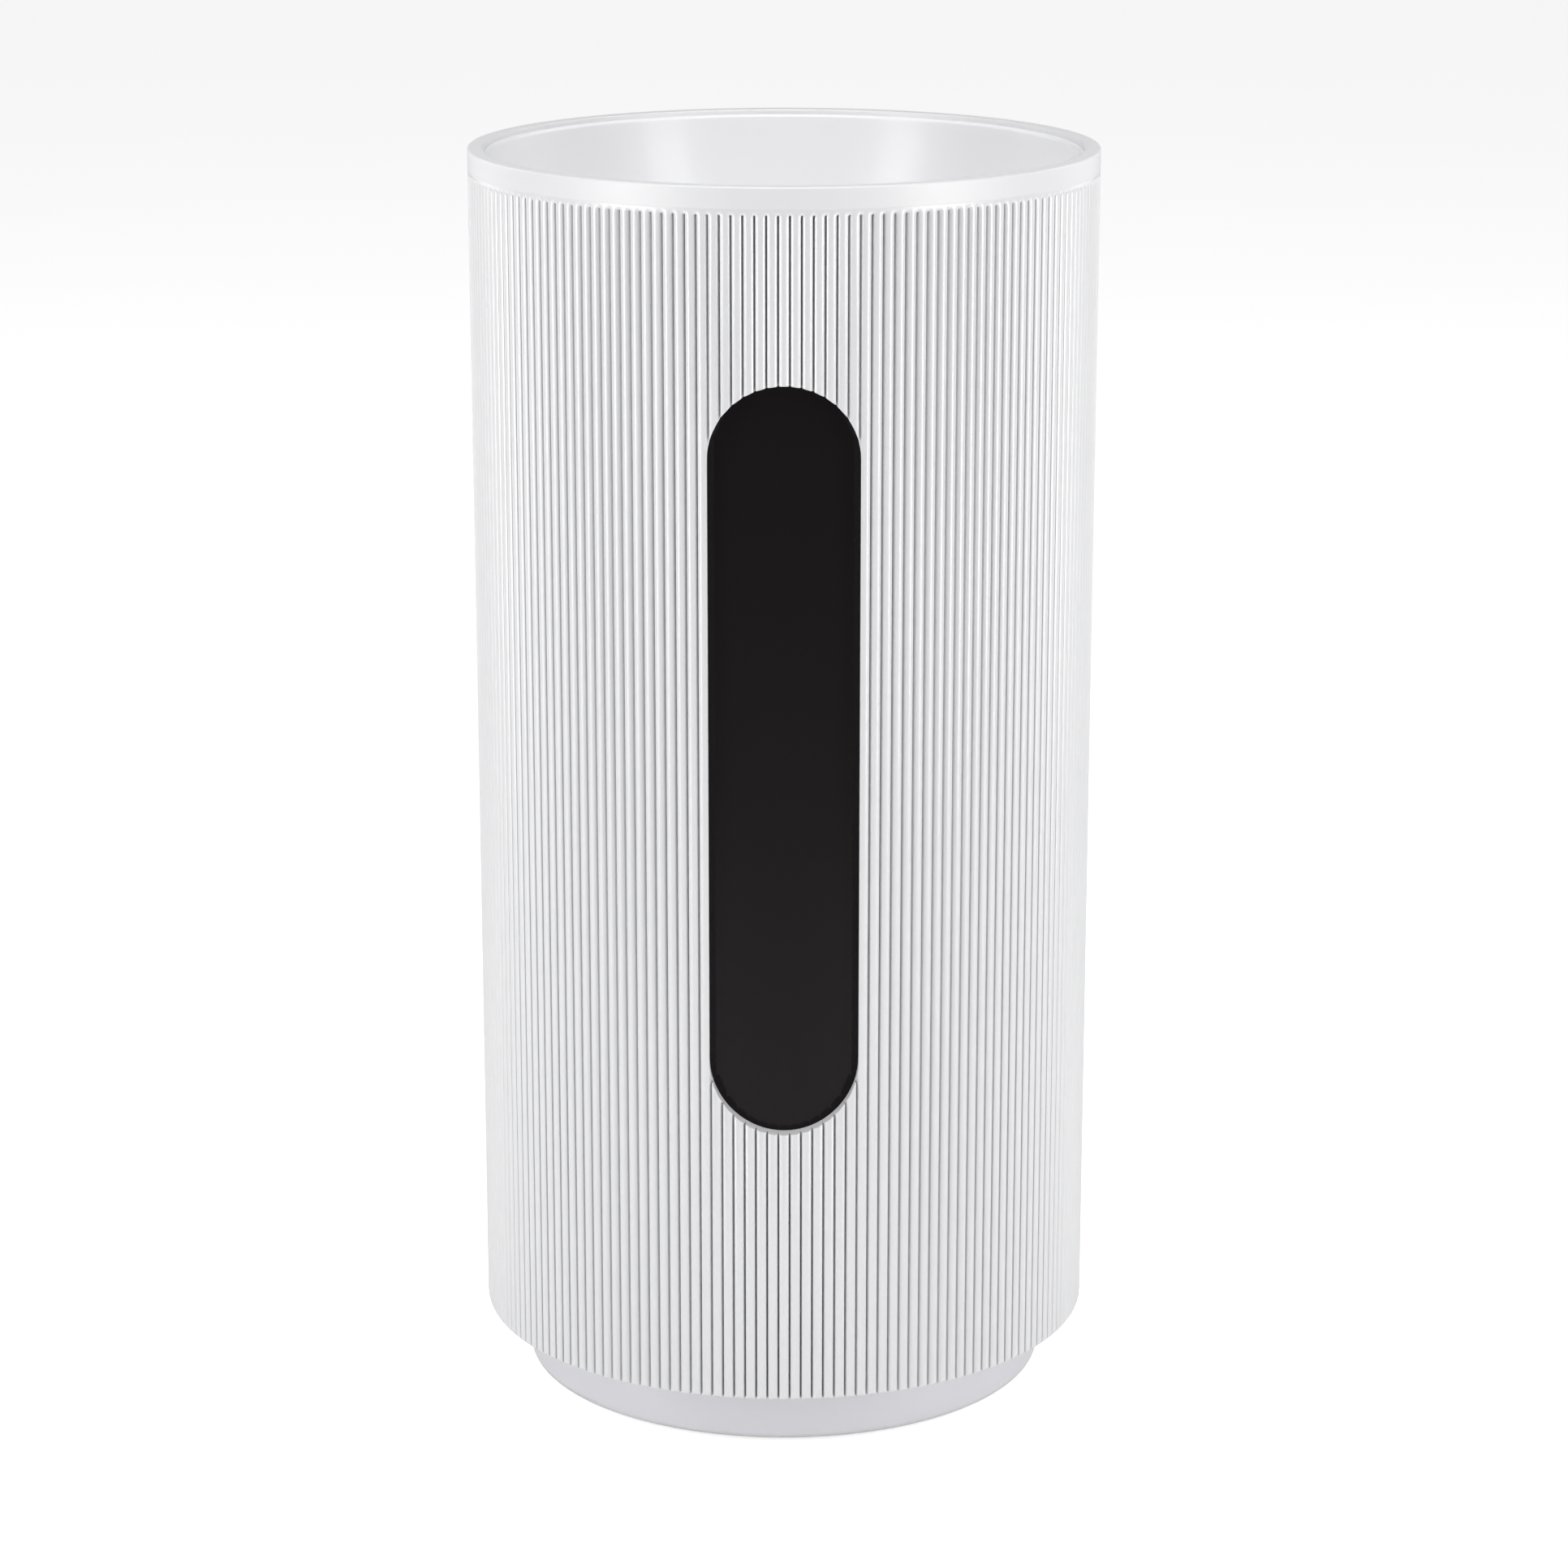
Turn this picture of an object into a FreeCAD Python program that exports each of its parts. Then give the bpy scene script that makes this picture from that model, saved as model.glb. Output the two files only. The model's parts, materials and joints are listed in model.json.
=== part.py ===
"""Tower air purifier: a reeded sleeve on a set-back plinth, an open bowl outlet and a pill-shaped window.

Air enters under the sleeve, passes inwards through a round filter that stands on the base, is lifted by a
centrifugal fan and leaves through a grille at the bottom of the bowl. The housing lifts off the base so that
the filter can be changed.

Millimetres, +Z up, the window faces -Y, and the origin is on the floor at the middle of the base.
"""
import FreeCAD, Part
import math
import os
from FreeCAD import Vector

# ---------------------------------------------------------------- driving dimensions
sleeve_radius = 100.0
sleeve_height = 385.0
sleeve_wall = 5.2
reed_pitch = 3.57          # along the circumference
reed_depth = 1.1
reed_drop = 0.1            # the reeds' crowns lie this far inside the plain band
band_height = 6.6          # plain band under the rim

plinth_height = 21.0       # floor to the sleeve's lower edge
plinth_setback = 14.5      # the plinth is this much smaller in radius than the sleeve
plinth_wall = 2.6
foot_gap = 1.2             # the plinth's own underside is this far off the floor

window_half_width = 23.2
window_side_margin = 3.0   # how far the lens reaches behind the sleeve
window_top_margin = 59.5   # rim to the top of the window
window_bottom_margin = 89.0
lens_thickness = 2.8

bowl_depth = 45.0          # rim to the top of the outlet grille
bowl_narrowing = 15.2      # the bowl is this much smaller in radius at the grille
bowl_wall = 2.4
lip_drop = 1.5             # the bowl's lip is this far below the rim
lip_width = 2.6
grille_thickness = 6.6

fan_bay_height = 121.0     # deck to the bowl's flange
deck_thickness = 3.0
duct_wall = 2.4
rib_depth = 5.8            # the frame's ribs stand between the duct and the sleeve
impeller_radius = 60.0
eye_radius = 44.0
blade_count = 9

rib_reach = 10.4           # the ribs are this deep beside the filter
filter_inset = 12.9        # the filter stands this far inside the plinth's wall
filter_bore = 42.5
cap_thickness = 4.0
gasket_thickness = 3.0
lift_ring_thickness = 4.0

latch_travel = 5.0

plate = 2.0                # common thickness of thin moulded walls
fit_gap = 0.2              # between pieces that sit inside each other
running_gap = 0.3          # between pieces that move past each other
screw_radius = 1.4
screw_gap = 0.05
cable_radius = 1.5

# ---------------------------------------------------------------- sizes that follow
sleeve_bore = sleeve_radius - sleeve_wall
rim_z = plinth_height + sleeve_height
band_z = rim_z - band_height
reed_count = round(2 * math.pi * sleeve_radius / reed_pitch)

plinth_radius = sleeve_radius - plinth_setback
plinth_bore = plinth_radius - plinth_wall
floor_top = foot_gap + plinth_wall
tray_bottom = plinth_height - 3.0

window_low = plinth_height + window_bottom_margin
window_high = rim_z - window_top_margin
lens_radius = sleeve_bore
bracket_radius = lens_radius - lens_thickness
bracket_depth = 2.4

frame_radius = sleeve_bore - 0.4
duct_radius = frame_radius - rib_depth - fit_gap
duct_bore = duct_radius - duct_wall

grille_radius = sleeve_bore - bowl_narrowing
grille_top = rim_z - bowl_depth
grille_bottom = grille_top - grille_thickness
flange_z = grille_bottom - bowl_wall
deck_top = flange_z - fan_bay_height
deck_bottom = deck_top - deck_thickness

filter_radius = plinth_bore - filter_inset
filter_low = plinth_height
filter_high = deck_bottom - gasket_thickness
media_low = filter_low + cap_thickness
media_high = filter_high - cap_thickness
cap_lip = 1.4
net_thickness = 1.0

ring_low = plinth_height
ring_high = ring_low + lift_ring_thickness
ring_bore = filter_radius + 1.5

rib_angles = [30 + 60 * n for n in range(6)]   # measured from the window
rib_width = 9.0

# fan and motor, measured from the deck
shroud_low = deck_top + 5.0
back_plate_z = deck_top + 45.0
motor_flange_z = back_plate_z + 7.0
diffuser_z = motor_flange_z + 4.5
diffuser_height = 20.0
hub_radius = impeller_radius - 2.0
can_radius = 23.0
can_low = back_plate_z - 17.5
shaft_radius = 2.0
bearing_radius = 6.5
tube_radius = 8.5
stator_radius = 18.6
grommet_circle = 36.0
cable_z = diffuser_z + 9.5
cable_angle = 75.0         # from +X
cable_circle = (duct_radius + sleeve_bore) / 2
lead_end_circle = 24.0

# base mechanism
stud_neck = 1.8
stud_head = 3.0
stud_circle = ring_bore + stud_neck + 1.4
latch_plate_z = tray_bottom - 4.5
latch_thickness = 2.0
latch_arm_outer = plinth_bore - latch_travel - 5.9
latch_arm_inner = latch_arm_outer - 10.0
guide_angles = (20, 60, 120, 160)
button_half_width = 14.0
button_half_height = (latch_plate_z - floor_top - 2.7) / 2
button_z = latch_plate_z - button_half_height
boss_circle = latch_arm_inner - 12.0
ballast_radius = boss_circle - 12.0
ballast_thickness = 7.0

# back of the housing
inlet_z = plinth_height + 27.0
inlet_half_width = 17.0
inlet_half_height = 9.0
board_y = filter_radius + 11.0
board_low = inlet_z + 20.0
board_height = 84.0
rib_edge = (frame_radius - rib_reach) * math.sin(math.radians(30)) - rib_width / 2
board_half_width = rib_edge - 7.5


# ---------------------------------------------------------------- shape helpers
def arc_point(x, z, radius, degrees):
    """A point on an arc about (x, z), for face_of."""
    angle = math.radians(degrees)
    return x + radius * math.cos(angle), z + radius * math.sin(angle), "arc"


def disc(radius, low, high, x=0.0, y=0.0):
    return Part.makeCylinder(radius, high - low, Vector(x, y, low))


def ring(outer, inner, low, high, x=0.0, y=0.0):
    return disc(outer, low, high, x, y).cut(disc(inner, low - 1, high + 1, x, y))


def block(x0, x1, y0, y1, z0, z1):
    return Part.makeBox(x1 - x0, y1 - y0, z1 - z0, Vector(x0, y0, z0))


def turned(shape, degrees):
    """A copy of the shape, turned about the vertical axis."""
    copy = shape.copy()
    copy.rotate(Vector(0, 0, 0), Vector(0, 0, 1), degrees)
    return copy


def polar(shape, angles):
    return [turned(shape, angle) for angle in angles]


def joined(first, *others):
    return first.fuse(list(others)).removeSplitter()


def without(shape, *tools):
    return shape.cut(list(tools)).removeSplitter()


def face_of(points):
    """A face from (r, z) points in the XZ plane. A point with a third value makes an arc through it."""
    edges = []
    count = len(points)
    spots = [Vector(p[0], 0, p[1]) for p in points]
    index = 0
    while index < count:
        start = spots[index]
        following = (index + 1) % count
        if len(points[following]) == 3:
            end = spots[(index + 2) % count]
            edges.append(Part.Arc(start, spots[following], end).toShape())
            index += 2
        else:
            edges.append(Part.LineSegment(start, spots[following]).toShape())
            index += 1
    return Part.Face(Part.Wire(edges))


def revolved(points):
    return face_of(points).revolve(Vector(0, 0, 0), Vector(0, 0, 1), 360)


def upright_pill(half_width, low, high, y0, y1):
    """A prism along Y whose outline is a pill standing on end."""
    top = high - half_width
    bottom = low + half_width
    edges = [
        Part.LineSegment(Vector(-half_width, y0, bottom), Vector(-half_width, y0, top)),
        Part.Arc(Vector(-half_width, y0, top), Vector(0, y0, high), Vector(half_width, y0, top)),
        Part.LineSegment(Vector(half_width, y0, top), Vector(half_width, y0, bottom)),
        Part.Arc(Vector(half_width, y0, bottom), Vector(0, y0, low), Vector(-half_width, y0, bottom)),
    ]
    wire = Part.Wire([edge.toShape() for edge in edges])
    return Part.Face(wire).extrude(Vector(0, y1 - y0, 0))


def lying_pill(half_width, half_height, z, y0, y1):
    """A prism along Y whose outline is a pill lying on its side."""
    prism = upright_pill(half_height, -half_width, half_width, y0, y1)
    prism.rotate(Vector(0, 0, 0), Vector(0, 1, 0), 90)
    prism.translate(Vector(0, 0, z))
    return prism


def screw(x, y, head_z, tip_z, head_radius=2.6, head_height=1.7):
    """A pan-head screw along Z. The head lies beyond head_z, away from the tip."""
    step = 1 if tip_z < head_z else -1
    shank = disc(screw_radius, min(head_z, tip_z), max(head_z, tip_z), x, y)
    far = head_z + step * head_height
    head = disc(head_radius, min(head_z, far), max(head_z, far), x, y)
    slot = block(x - head_radius, x + head_radius, y - 0.35, y + 0.35,
                 min(far, far - step * 0.6), max(far, far - step * 0.6))
    return joined(shank, head).cut(slot)


def screw_hole(x, y, low, high):
    return disc(screw_radius + screw_gap, low, high, x, y)


def on_circle(radius, degrees):
    """A point at an angle measured from +X."""
    return radius * math.cos(math.radians(degrees)), radius * math.sin(math.radians(degrees))


def coil(radius, wire_radius, turns, length, start, direction):
    """A round-wire compression spring from start, along direction."""
    pitch = (length - 2 * wire_radius) / turns
    helix = Part.makeHelix(pitch, pitch * turns, radius)
    section = Part.Wire([Part.makeCircle(wire_radius, Vector(radius, 0, 0), Vector(0, 1, 0))])
    spring = Part.Wire(helix).makePipeShell([section], True, True)
    spring.translate(Vector(0, 0, wire_radius))
    turn = FreeCAD.Rotation(Vector(0, 0, 1), direction)
    spring.Placement = FreeCAD.Placement(start, turn).multiply(spring.Placement)
    return spring


def lead(points, radius):
    """A round cable along straight runs joined by tangent arcs. Returns its solid and its bend radii.

    A point with a fourth value is a corner that its clip or hole holds to that bend radius.
    """
    spots = [Vector(*p[:3]) for p in points]
    edges = []
    radii = []
    here = spots[0]
    for index in range(1, len(spots) - 1):
        corner = spots[index]
        back = (spots[index - 1] - corner).normalize()
        ahead = (spots[index + 1] - corner).normalize()
        half_turn = (math.pi - back.getAngle(ahead)) / 2
        shorter = min((spots[index - 1] - corner).Length, (spots[index + 1] - corner).Length)
        bend = 0.45 * shorter / math.tan(half_turn)
        if len(points[index]) == 4:
            bend = points[index][3]
        setback = bend * math.tan(half_turn)
        enter = corner + back * setback
        leave = corner + ahead * setback
        inwards = (back + ahead).normalize()
        middle = corner + inwards * (bend / math.cos(half_turn) - bend)
        edges.append(Part.LineSegment(here, enter).toShape())
        edges.append(Part.Arc(enter, middle, leave).toShape())
        radii.append(round(bend, 1))
        here = leave
    edges.append(Part.LineSegment(here, spots[-1]).toShape())
    path = Part.Wire(edges)
    section = Part.Wire([Part.makeCircle(radius, spots[0], spots[1] - spots[0])])
    tube = path.makePipeShell([section], True, True)
    print("  volume over section times length", round(tube.Volume / (math.pi * radius ** 2 * path.Length), 4))
    return tube, radii


# ---------------------------------------------------------------- base
def tray_screw_spots():
    return [on_circle(boss_circle, 45 + 90 * n) for n in range(4)]


def stud_spots():
    """Two studs at the sides and one at the back."""
    return [(stud_circle, 0.0), (-stud_circle, 0.0), (0.0, stud_circle)]


foot_outer = plinth_radius - 6.5
foot_inner = foot_outer - 7.0
foot_seat = foot_gap + 1.0
pillar_split = floor_top + 6.0
spring_tab_y = latch_arm_inner - 5.0
spring_post_y = spring_tab_y - 15.0
spring_z = (floor_top + latch_plate_z) / 2
spring_radius = 2.6
spring_wire = 0.3


def guide_spots():
    """Where the latch plate slides between the plinth's pads and the tray's."""
    return [on_circle((latch_arm_outer + latch_arm_inner) / 2, angle) for angle in guide_angles]


def rubber_foot():
    return ring(foot_outer, foot_inner, 0, foot_seat)


def plinth():
    body = disc(plinth_radius, foot_gap, plinth_height)
    lower = [e for e in body.Edges if abs(e.BoundBox.ZMax - foot_gap) < 0.01 and e.Length > 10]
    body = body.makeFillet(2.5, lower)
    body = without(body, disc(plinth_bore, floor_top, plinth_height + 1))
    bosses = [disc(4.2, floor_top - 0.5, pillar_split, x, y) for x, y in tray_screw_spots()]
    pads = [disc(3.5, floor_top - 0.5, latch_plate_z - 0.1, x, y) for x, y in guide_spots()]
    post = block(-6, 6, spring_post_y - 2.5, spring_post_y, floor_top - 0.5, latch_plate_z - 0.5)
    body = joined(body, post, *bosses, *pads)
    tools = [ring(foot_outer + 0.05, foot_inner - 0.05, foot_gap - 1, foot_seat)]
    for x, y in tray_screw_spots():
        tools.append(screw_hole(x, y, 0, pillar_split + 1))
        tools.append(disc(2.6 + fit_gap, 0, foot_gap + 1.9, x, y))
    tools.append(lying_pill(button_half_width + running_gap, button_half_height + running_gap,
                            button_z, plinth_bore - 6, plinth_radius + 2))
    return without(body, *tools)


def ballast_disc():
    return disc(ballast_radius, floor_top, floor_top + ballast_thickness)


def filter_tray():
    body = disc(plinth_bore - fit_gap / 2, tray_bottom, plinth_height)
    collar = ring(filter_bore - 0.5, filter_bore - 2.5, plinth_height - 1, media_low + 3)
    pillars = [disc(4.2, pillar_split, tray_bottom + 0.5, x, y) for x, y in tray_screw_spots()]
    post = disc(6, floor_top + ballast_thickness, tray_bottom + 0.5)
    pads = [disc(3.5, latch_plate_z + latch_thickness + running_gap, tray_bottom + 0.5, x, y)
            for x, y in guide_spots()]
    body = joined(body, collar, post, *pillars, *pads)
    tools = [screw_hole(x, y, pillar_split - 1, tray_bottom + 1) for x, y in tray_screw_spots()]
    tools += [disc(stud_head + 0.6, tray_bottom - 1, plinth_height + 1, x, y) for x, y in stud_spots()]
    magnet_x, magnet_y = on_circle(stud_circle, -60)
    tools.append(disc(3.05, plinth_height - 2, plinth_height + 1, magnet_x, magnet_y))
    return without(body, *tools)


def base_magnet():
    x, y = on_circle(stud_circle, -60)
    return disc(3, plinth_height - 2, plinth_height - 0.1, x, y)


def tray_screws():
    return [screw(x, y, foot_gap + 1.9, tray_bottom - 1) for x, y in tray_screw_spots()]


def keyhole(x, y):
    """Narrow at rest, and wide where the stud comes once the plate has moved towards -Y.

    At the back the plate ends before the wide part, so that the hole there is a fork.
    """
    low = latch_plate_z - 1
    high = latch_plate_z + latch_thickness + 1
    narrow = stud_neck + 0.4
    hole = joined(disc(narrow, low, high, x, y), block(x - narrow, x + narrow, y, y + latch_travel, low, high),
                  disc(stud_head + 0.5, low, high, x, y + latch_travel))
    return hole


def latch_plate():
    low = latch_plate_z
    high = latch_plate_z + latch_thickness
    arms = ring(latch_arm_outer, latch_arm_inner, low, high).common(
        block(-plinth_radius, plinth_radius, -8, plinth_radius, low, high))
    side = stud_circle + stud_head + 2.5
    tabs = [block(latch_arm_inner, side, -8, 13, low, high), block(-side, -latch_arm_inner, -8, 13, low, high)]
    back = block(-16, 16, spring_tab_y - 1, stud_circle + 1.2, low, high)
    spring_tab = block(-5, 5, spring_tab_y - 1, spring_tab_y + 1, floor_top + 1, high)
    plate_body = joined(arms, back, spring_tab, *tabs)
    room = disc(plinth_bore - running_gap, low - 20, high + 1)
    pressed_room = disc(plinth_bore - running_gap, low - 20, high + 1, 0, latch_travel)
    return without(plate_body.common(room).common(pressed_room), *[keyhole(x, y) for x, y in stud_spots()])


def release_button():
    """A pill that stands a little proud of the plinth, with two legs under the latch plate."""
    face = plinth_radius + 1.2
    cap = lying_pill(button_half_width, button_half_height, button_z, stud_circle - 7, plinth_radius + 3)
    between = block(-7.5, 7.5, stud_circle - 8, face - 2.2, 0, plinth_height)
    return without(cap.common(disc(face, 0, plinth_height)), between)


def latch_spring():
    return coil(spring_radius, spring_wire, 7, spring_tab_y - 1 - spring_post_y,
                Vector(0, spring_post_y, spring_z), Vector(0, 1, 0))


# ---------------------------------------------------------------- filter
def filter_end_cap(low, high, lip_to):
    """A ring with an outer lip that holds the pleats."""
    base = ring(filter_radius, filter_bore, low, high)
    lip = ring(filter_radius, filter_radius - cap_lip, min(low, lip_to), max(high, lip_to))
    return joined(base, lip)


def filter_cap_bottom():
    return filter_end_cap(filter_low, media_low, media_low + 6)


def filter_cap_top():
    return filter_end_cap(media_high, filter_high, media_high - 6)


net_radius = filter_radius - cap_lip - 0.1
media_radius = net_radius - net_thickness
carbon_radius = filter_bore + 4.5


def prefilter_net():
    return ring(net_radius, media_radius, media_low, media_high)


def filter_media():
    return ring(media_radius, carbon_radius, media_low, media_high)


def carbon_core():
    return ring(carbon_radius, filter_bore + 0.5, media_low, media_high)


def filter_gasket():
    return ring(filter_radius - 4, filter_bore + 6, filter_high, deck_bottom)


# ---------------------------------------------------------------- sleeve and frame
def reeded_outline(crown, depth, count, z):
    """A closed wire of convex arcs, one for each reed."""
    pitch = 2 * math.pi / count
    valley = crown - depth

    def spot(radius, angle):
        return Vector(radius * math.sin(angle), -radius * math.cos(angle), z)

    arcs = []
    for n in range(count):
        middle = n * pitch
        arcs.append(Part.Arc(spot(valley, middle - pitch / 2), spot(crown, middle),
                             spot(valley, middle + pitch / 2)).toShape())
    return Part.Wire(arcs)


def sleeve():
    outline = reeded_outline(sleeve_radius - reed_drop, reed_depth, reed_count, plinth_height)
    reeds = Part.Face(outline).extrude(Vector(0, 0, band_z - plinth_height))
    band = disc(sleeve_radius, band_z, rim_z)
    body = joined(reeds, band)
    window = upright_pill(window_half_width, window_low, window_high, -sleeve_radius - 5, 0)
    inlet = lying_pill(inlet_half_width, inlet_half_height, inlet_z, 0, sleeve_radius + 5)
    return without(body, disc(sleeve_bore, plinth_height - 1, rim_z + 1), window, inlet)


def frame_screw_spots():
    return [on_circle(frame_radius - 4.9, angle - 90) for angle in rib_angles]


slots_per_bay = 8


def intake_ring():
    body = ring(sleeve_bore, ring_bore, ring_low, ring_high)
    slot = block(-2.6, 2.6, plinth_radius + 1.3, frame_radius - 1.2, ring_low - 1, ring_high + 1)
    slots = []
    for rib in rib_angles:
        first = rib - 180 + 9
        slots += polar(slot, [first + 6 * n for n in range(slots_per_bay)])
    holes = [screw_hole(x, y, ring_low - 1, ring_high + 1) for x, y in frame_screw_spots()]
    holes += [disc(2.6 + fit_gap, ring_low - 1, ring_low + 2, x, y) for x, y in frame_screw_spots()]
    holes += [disc(stud_neck, ring_low - 1, ring_high + 1, x, y) for x, y in stud_spots()]
    return without(body, *slots, *holes)


def frame_screws():
    return [screw(x, y, ring_low + 2, ring_high + 12) for x, y in frame_screw_spots()]


def lock_studs():
    head_top = latch_plate_z - running_gap
    studs = []
    for x, y in stud_spots():
        neck = disc(stud_neck, head_top - 1, ring_high + 1, x, y)
        head = disc(stud_head, head_top - 3, head_top, x, y)
        rivet = disc(stud_neck + 1, ring_high, ring_high + 1.2, x, y)
        studs.append(joined(neck, head, rivet))
    return studs


def deck_screw_spots():
    return [on_circle(duct_radius - 6, 60 * n) for n in range(6)]


def window_clearance(top):
    """The room that the lens and its bracket take in front of the duct, up to a height."""
    margin = window_side_margin + 1
    side = window_half_width + margin
    depth = math.sqrt((bracket_radius - bracket_depth - 0.5) ** 2 - side ** 2)
    pill = upright_pill(side, window_low - margin, window_high + margin, -sleeve_radius, -depth)
    return pill.common(block(-sleeve_radius, sleeve_radius, -sleeve_radius, 0, 0, top))


def frame():
    """Six ribs and two rings between the duct and the sleeve."""
    low_rib = block(-rib_width / 2, rib_width / 2, frame_radius - rib_reach, sleeve_radius,
                    ring_high, deck_bottom)
    high_rib = block(-rib_width / 2, rib_width / 2, duct_radius + fit_gap, sleeve_radius, ring_high, flange_z)
    angles = [angle - 180 for angle in rib_angles]
    deck_seat = ring(duct_radius + 1, filter_radius + 4, deck_bottom - 4, deck_bottom)
    top_ring = ring(frame_radius, duct_radius + fit_gap, flange_z - 6, flange_z)
    body = joined(deck_seat, top_ring, *polar(low_rib, angles), *polar(high_rib, angles))
    body = body.common(disc(frame_radius, ring_high, flange_z))
    beside = window_half_width + window_side_margin + 1
    clear = block(-beside, beside, -sleeve_radius, -bracket_radius + 4, deck_bottom - 5, deck_bottom + 1)
    holes = [screw_hole(x, y, ring_high - 1, ring_high + 13) for x, y in frame_screw_spots()]
    holes += [screw_hole(x, y, deck_bottom - 5, deck_bottom + 1) for x, y in deck_screw_spots()]
    return without(body, window_clearance(flange_z + 1), clear, *holes)


# ---------------------------------------------------------------- fan bay
def fan_deck():
    """The plate that the filter seals against, with the fan's bell mouth."""
    lip = eye_radius - 1.0
    throat = lip - plate
    curve = deck_thickness + 6.0
    middle_r = throat + curve
    middle_z = deck_bottom + curve
    outer_curve = curve - plate
    start = math.degrees(math.asin(-(curve - deck_thickness) / outer_curve)) % 360 - 360
    joins = middle_r - math.sqrt(outer_curve ** 2 - (curve - deck_thickness) ** 2)
    body = revolved([
        (duct_radius, deck_bottom), (duct_radius, deck_top), (joins, deck_top),
        arc_point(middle_r, middle_z, outer_curve, (-180 - start - 180) / 2), (lip, middle_z),
        (lip, middle_z + 2), (throat, middle_z + 2), (throat, middle_z),
        arc_point(middle_r, middle_z, curve, 225), (middle_r, deck_bottom)])
    return without(body, *[screw_hole(x, y, deck_bottom - 1, deck_top + 1) for x, y in deck_screw_spots()])


def cable_bore(inner, outer):
    """A hole for the motor's lead, along a radius."""
    x, y = on_circle(1, cable_angle)
    return Part.makeCylinder(cable_radius + 0.5, outer - inner, Vector(x * inner, y * inner, cable_z),
                             Vector(x, y, 0))


def fan_duct():
    wall = ring(duct_radius, duct_bore, deck_top, flange_z)
    flange = ring(duct_radius, duct_radius - 9, deck_top, deck_top + 2.5)
    holes = [screw_hole(x, y, deck_top - 1, deck_top + 4) for x, y in deck_screw_spots()]
    return without(joined(wall, flange), cable_bore(duct_bore - 2, duct_radius + 2), *holes)


def deck_screws():
    return [screw(x, y, deck_top + 2.5, deck_bottom - 3.5) for x, y in deck_screw_spots()]


def grommet_spots():
    return [on_circle(grommet_circle, 35 + 120 * n) for n in range(3)]


def diffuser():
    """A hub that carries the motor, and vanes that turn the air upwards."""
    low = diffuser_z
    high = diffuser_z + diffuser_height
    ring_outer = duct_bore
    hub = ring(hub_radius, hub_radius - plate, low, high)
    floor = disc(hub_radius, low, low + 2.5)
    rim = ring(ring_outer, ring_outer - plate, low, high)
    blade = block(hub_radius - 1, ring_outer - 1, -1, 1, low - 10, high + 10)
    middle = (low + high) / 2
    blade.rotate(Vector(0, 0, middle), Vector(1, 0, 0), 35)
    channel = ring(ring_outer - plate / 2, hub_radius - plate / 2, low, high)
    vanes = [vane.common(channel) for vane in polar(blade, [15 + 40 * n for n in range(9)])]
    bosses = [disc(4, low, low + 6, x, y) for x, y in grommet_spots()]
    body = joined(hub, floor, rim, *vanes, *bosses)
    holes = [screw_hole(x, y, low - 1, low + 7) for x, y in grommet_spots()]
    holes.append(disc(cable_radius + 0.5, low - 1, low + 3, *on_circle(lead_end_circle, cable_angle)))
    return without(body, cable_bore(hub_radius - 5, ring_outer + 2), *holes)


def dome_ball(radius, rise, top):
    """The ball whose cap has this radius and rise, and its top at a height. Returns it and its size."""
    size = (radius ** 2 + rise ** 2) / (2 * rise)
    return Part.makeSphere(size, Vector(0, 0, top - size)), size


def tail_cone():
    low = diffuser_z + diffuser_height
    rise = 25.0
    ball, size = dome_ball(hub_radius, rise, low + rise)
    hollow = Part.makeSphere(size - plate, Vector(0, 0, low + rise - size))
    return ball.cut(hollow).common(disc(hub_radius + 1, low, low + rise + 1))


# ---------------------------------------------------------------- motor, fixed part
def motor_base():
    """A flange with three ears, and the tube that holds the bearings."""
    low = motor_flange_z
    high = motor_flange_z + 3
    flange = disc(31, low, high)
    ears = [disc(7, low, high, x, y) for x, y in grommet_spots()]
    tube = ring(tube_radius, bearing_radius, can_low + 4.5, low + 1)
    body = joined(flange, tube, *ears)
    holes = [disc(4, low - 1, high + 1, x, y) for x, y in grommet_spots()]
    return without(body, disc(bearing_radius, low - 1, high - 1.5), *holes)


def motor_grommets():
    low = motor_flange_z
    made = []
    for x, y in grommet_spots():
        spool = joined(disc(6, low - 1.5, low, x, y), disc(4, low - 0.5, low + 3.5, x, y),
                       disc(6, low + 3, low + 4.5, x, y))
        made.append(without(spool, screw_hole(x, y, low - 2, low + 5)))
    return made


def motor_screws():
    return [screw(x, y, motor_flange_z - 1.5, diffuser_z + 5, 2.6, 1.5) for x, y in grommet_spots()]


stator_low = can_low + 5.5
stator_high = back_plate_z - 4.0
tooth_count = 9


def stator_core():
    hub = ring(tube_radius + 2.5, tube_radius, stator_low, stator_high)
    tooth = block(-1.6, 1.6, tube_radius + 1, stator_radius - 1, stator_low, stator_high)
    shoe = ring(stator_radius, stator_radius - 1.6, stator_low, stator_high).common(
        block(-5.2, 5.2, 0, stator_radius + 1, stator_low, stator_high))
    angles = [40 * n for n in range(tooth_count)]
    return joined(hub, *polar(tooth, angles), *polar(shoe, angles))


def stator_windings():
    around = block(-3.0, 3.0, tube_radius + 3.0, stator_radius - 2.0, stator_low - 1.2, stator_high + 1.2)
    core = block(-1.65, 1.65, 0, stator_radius, stator_low - 0.05, stator_high + 0.05)
    return polar(around.cut(core), [40 * n for n in range(tooth_count)])


def bearing(low):
    """A ball bearing as an outer race, an inner race and a shield between them."""
    return ring(bearing_radius, shaft_radius + 0.05, low, low + 4)


def bearing_lower():
    return bearing(can_low + 5)


def bearing_upper():
    return bearing(motor_flange_z - 3)


# ---------------------------------------------------------------- rotor
def motor_can():
    cup = disc(can_radius, can_low, back_plate_z + 0.5)
    hollow = disc(can_radius - 1.8, can_low + 2, back_plate_z + 1)
    return without(cup, hollow, disc(shaft_radius, can_low - 1, can_low + 3))


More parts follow.
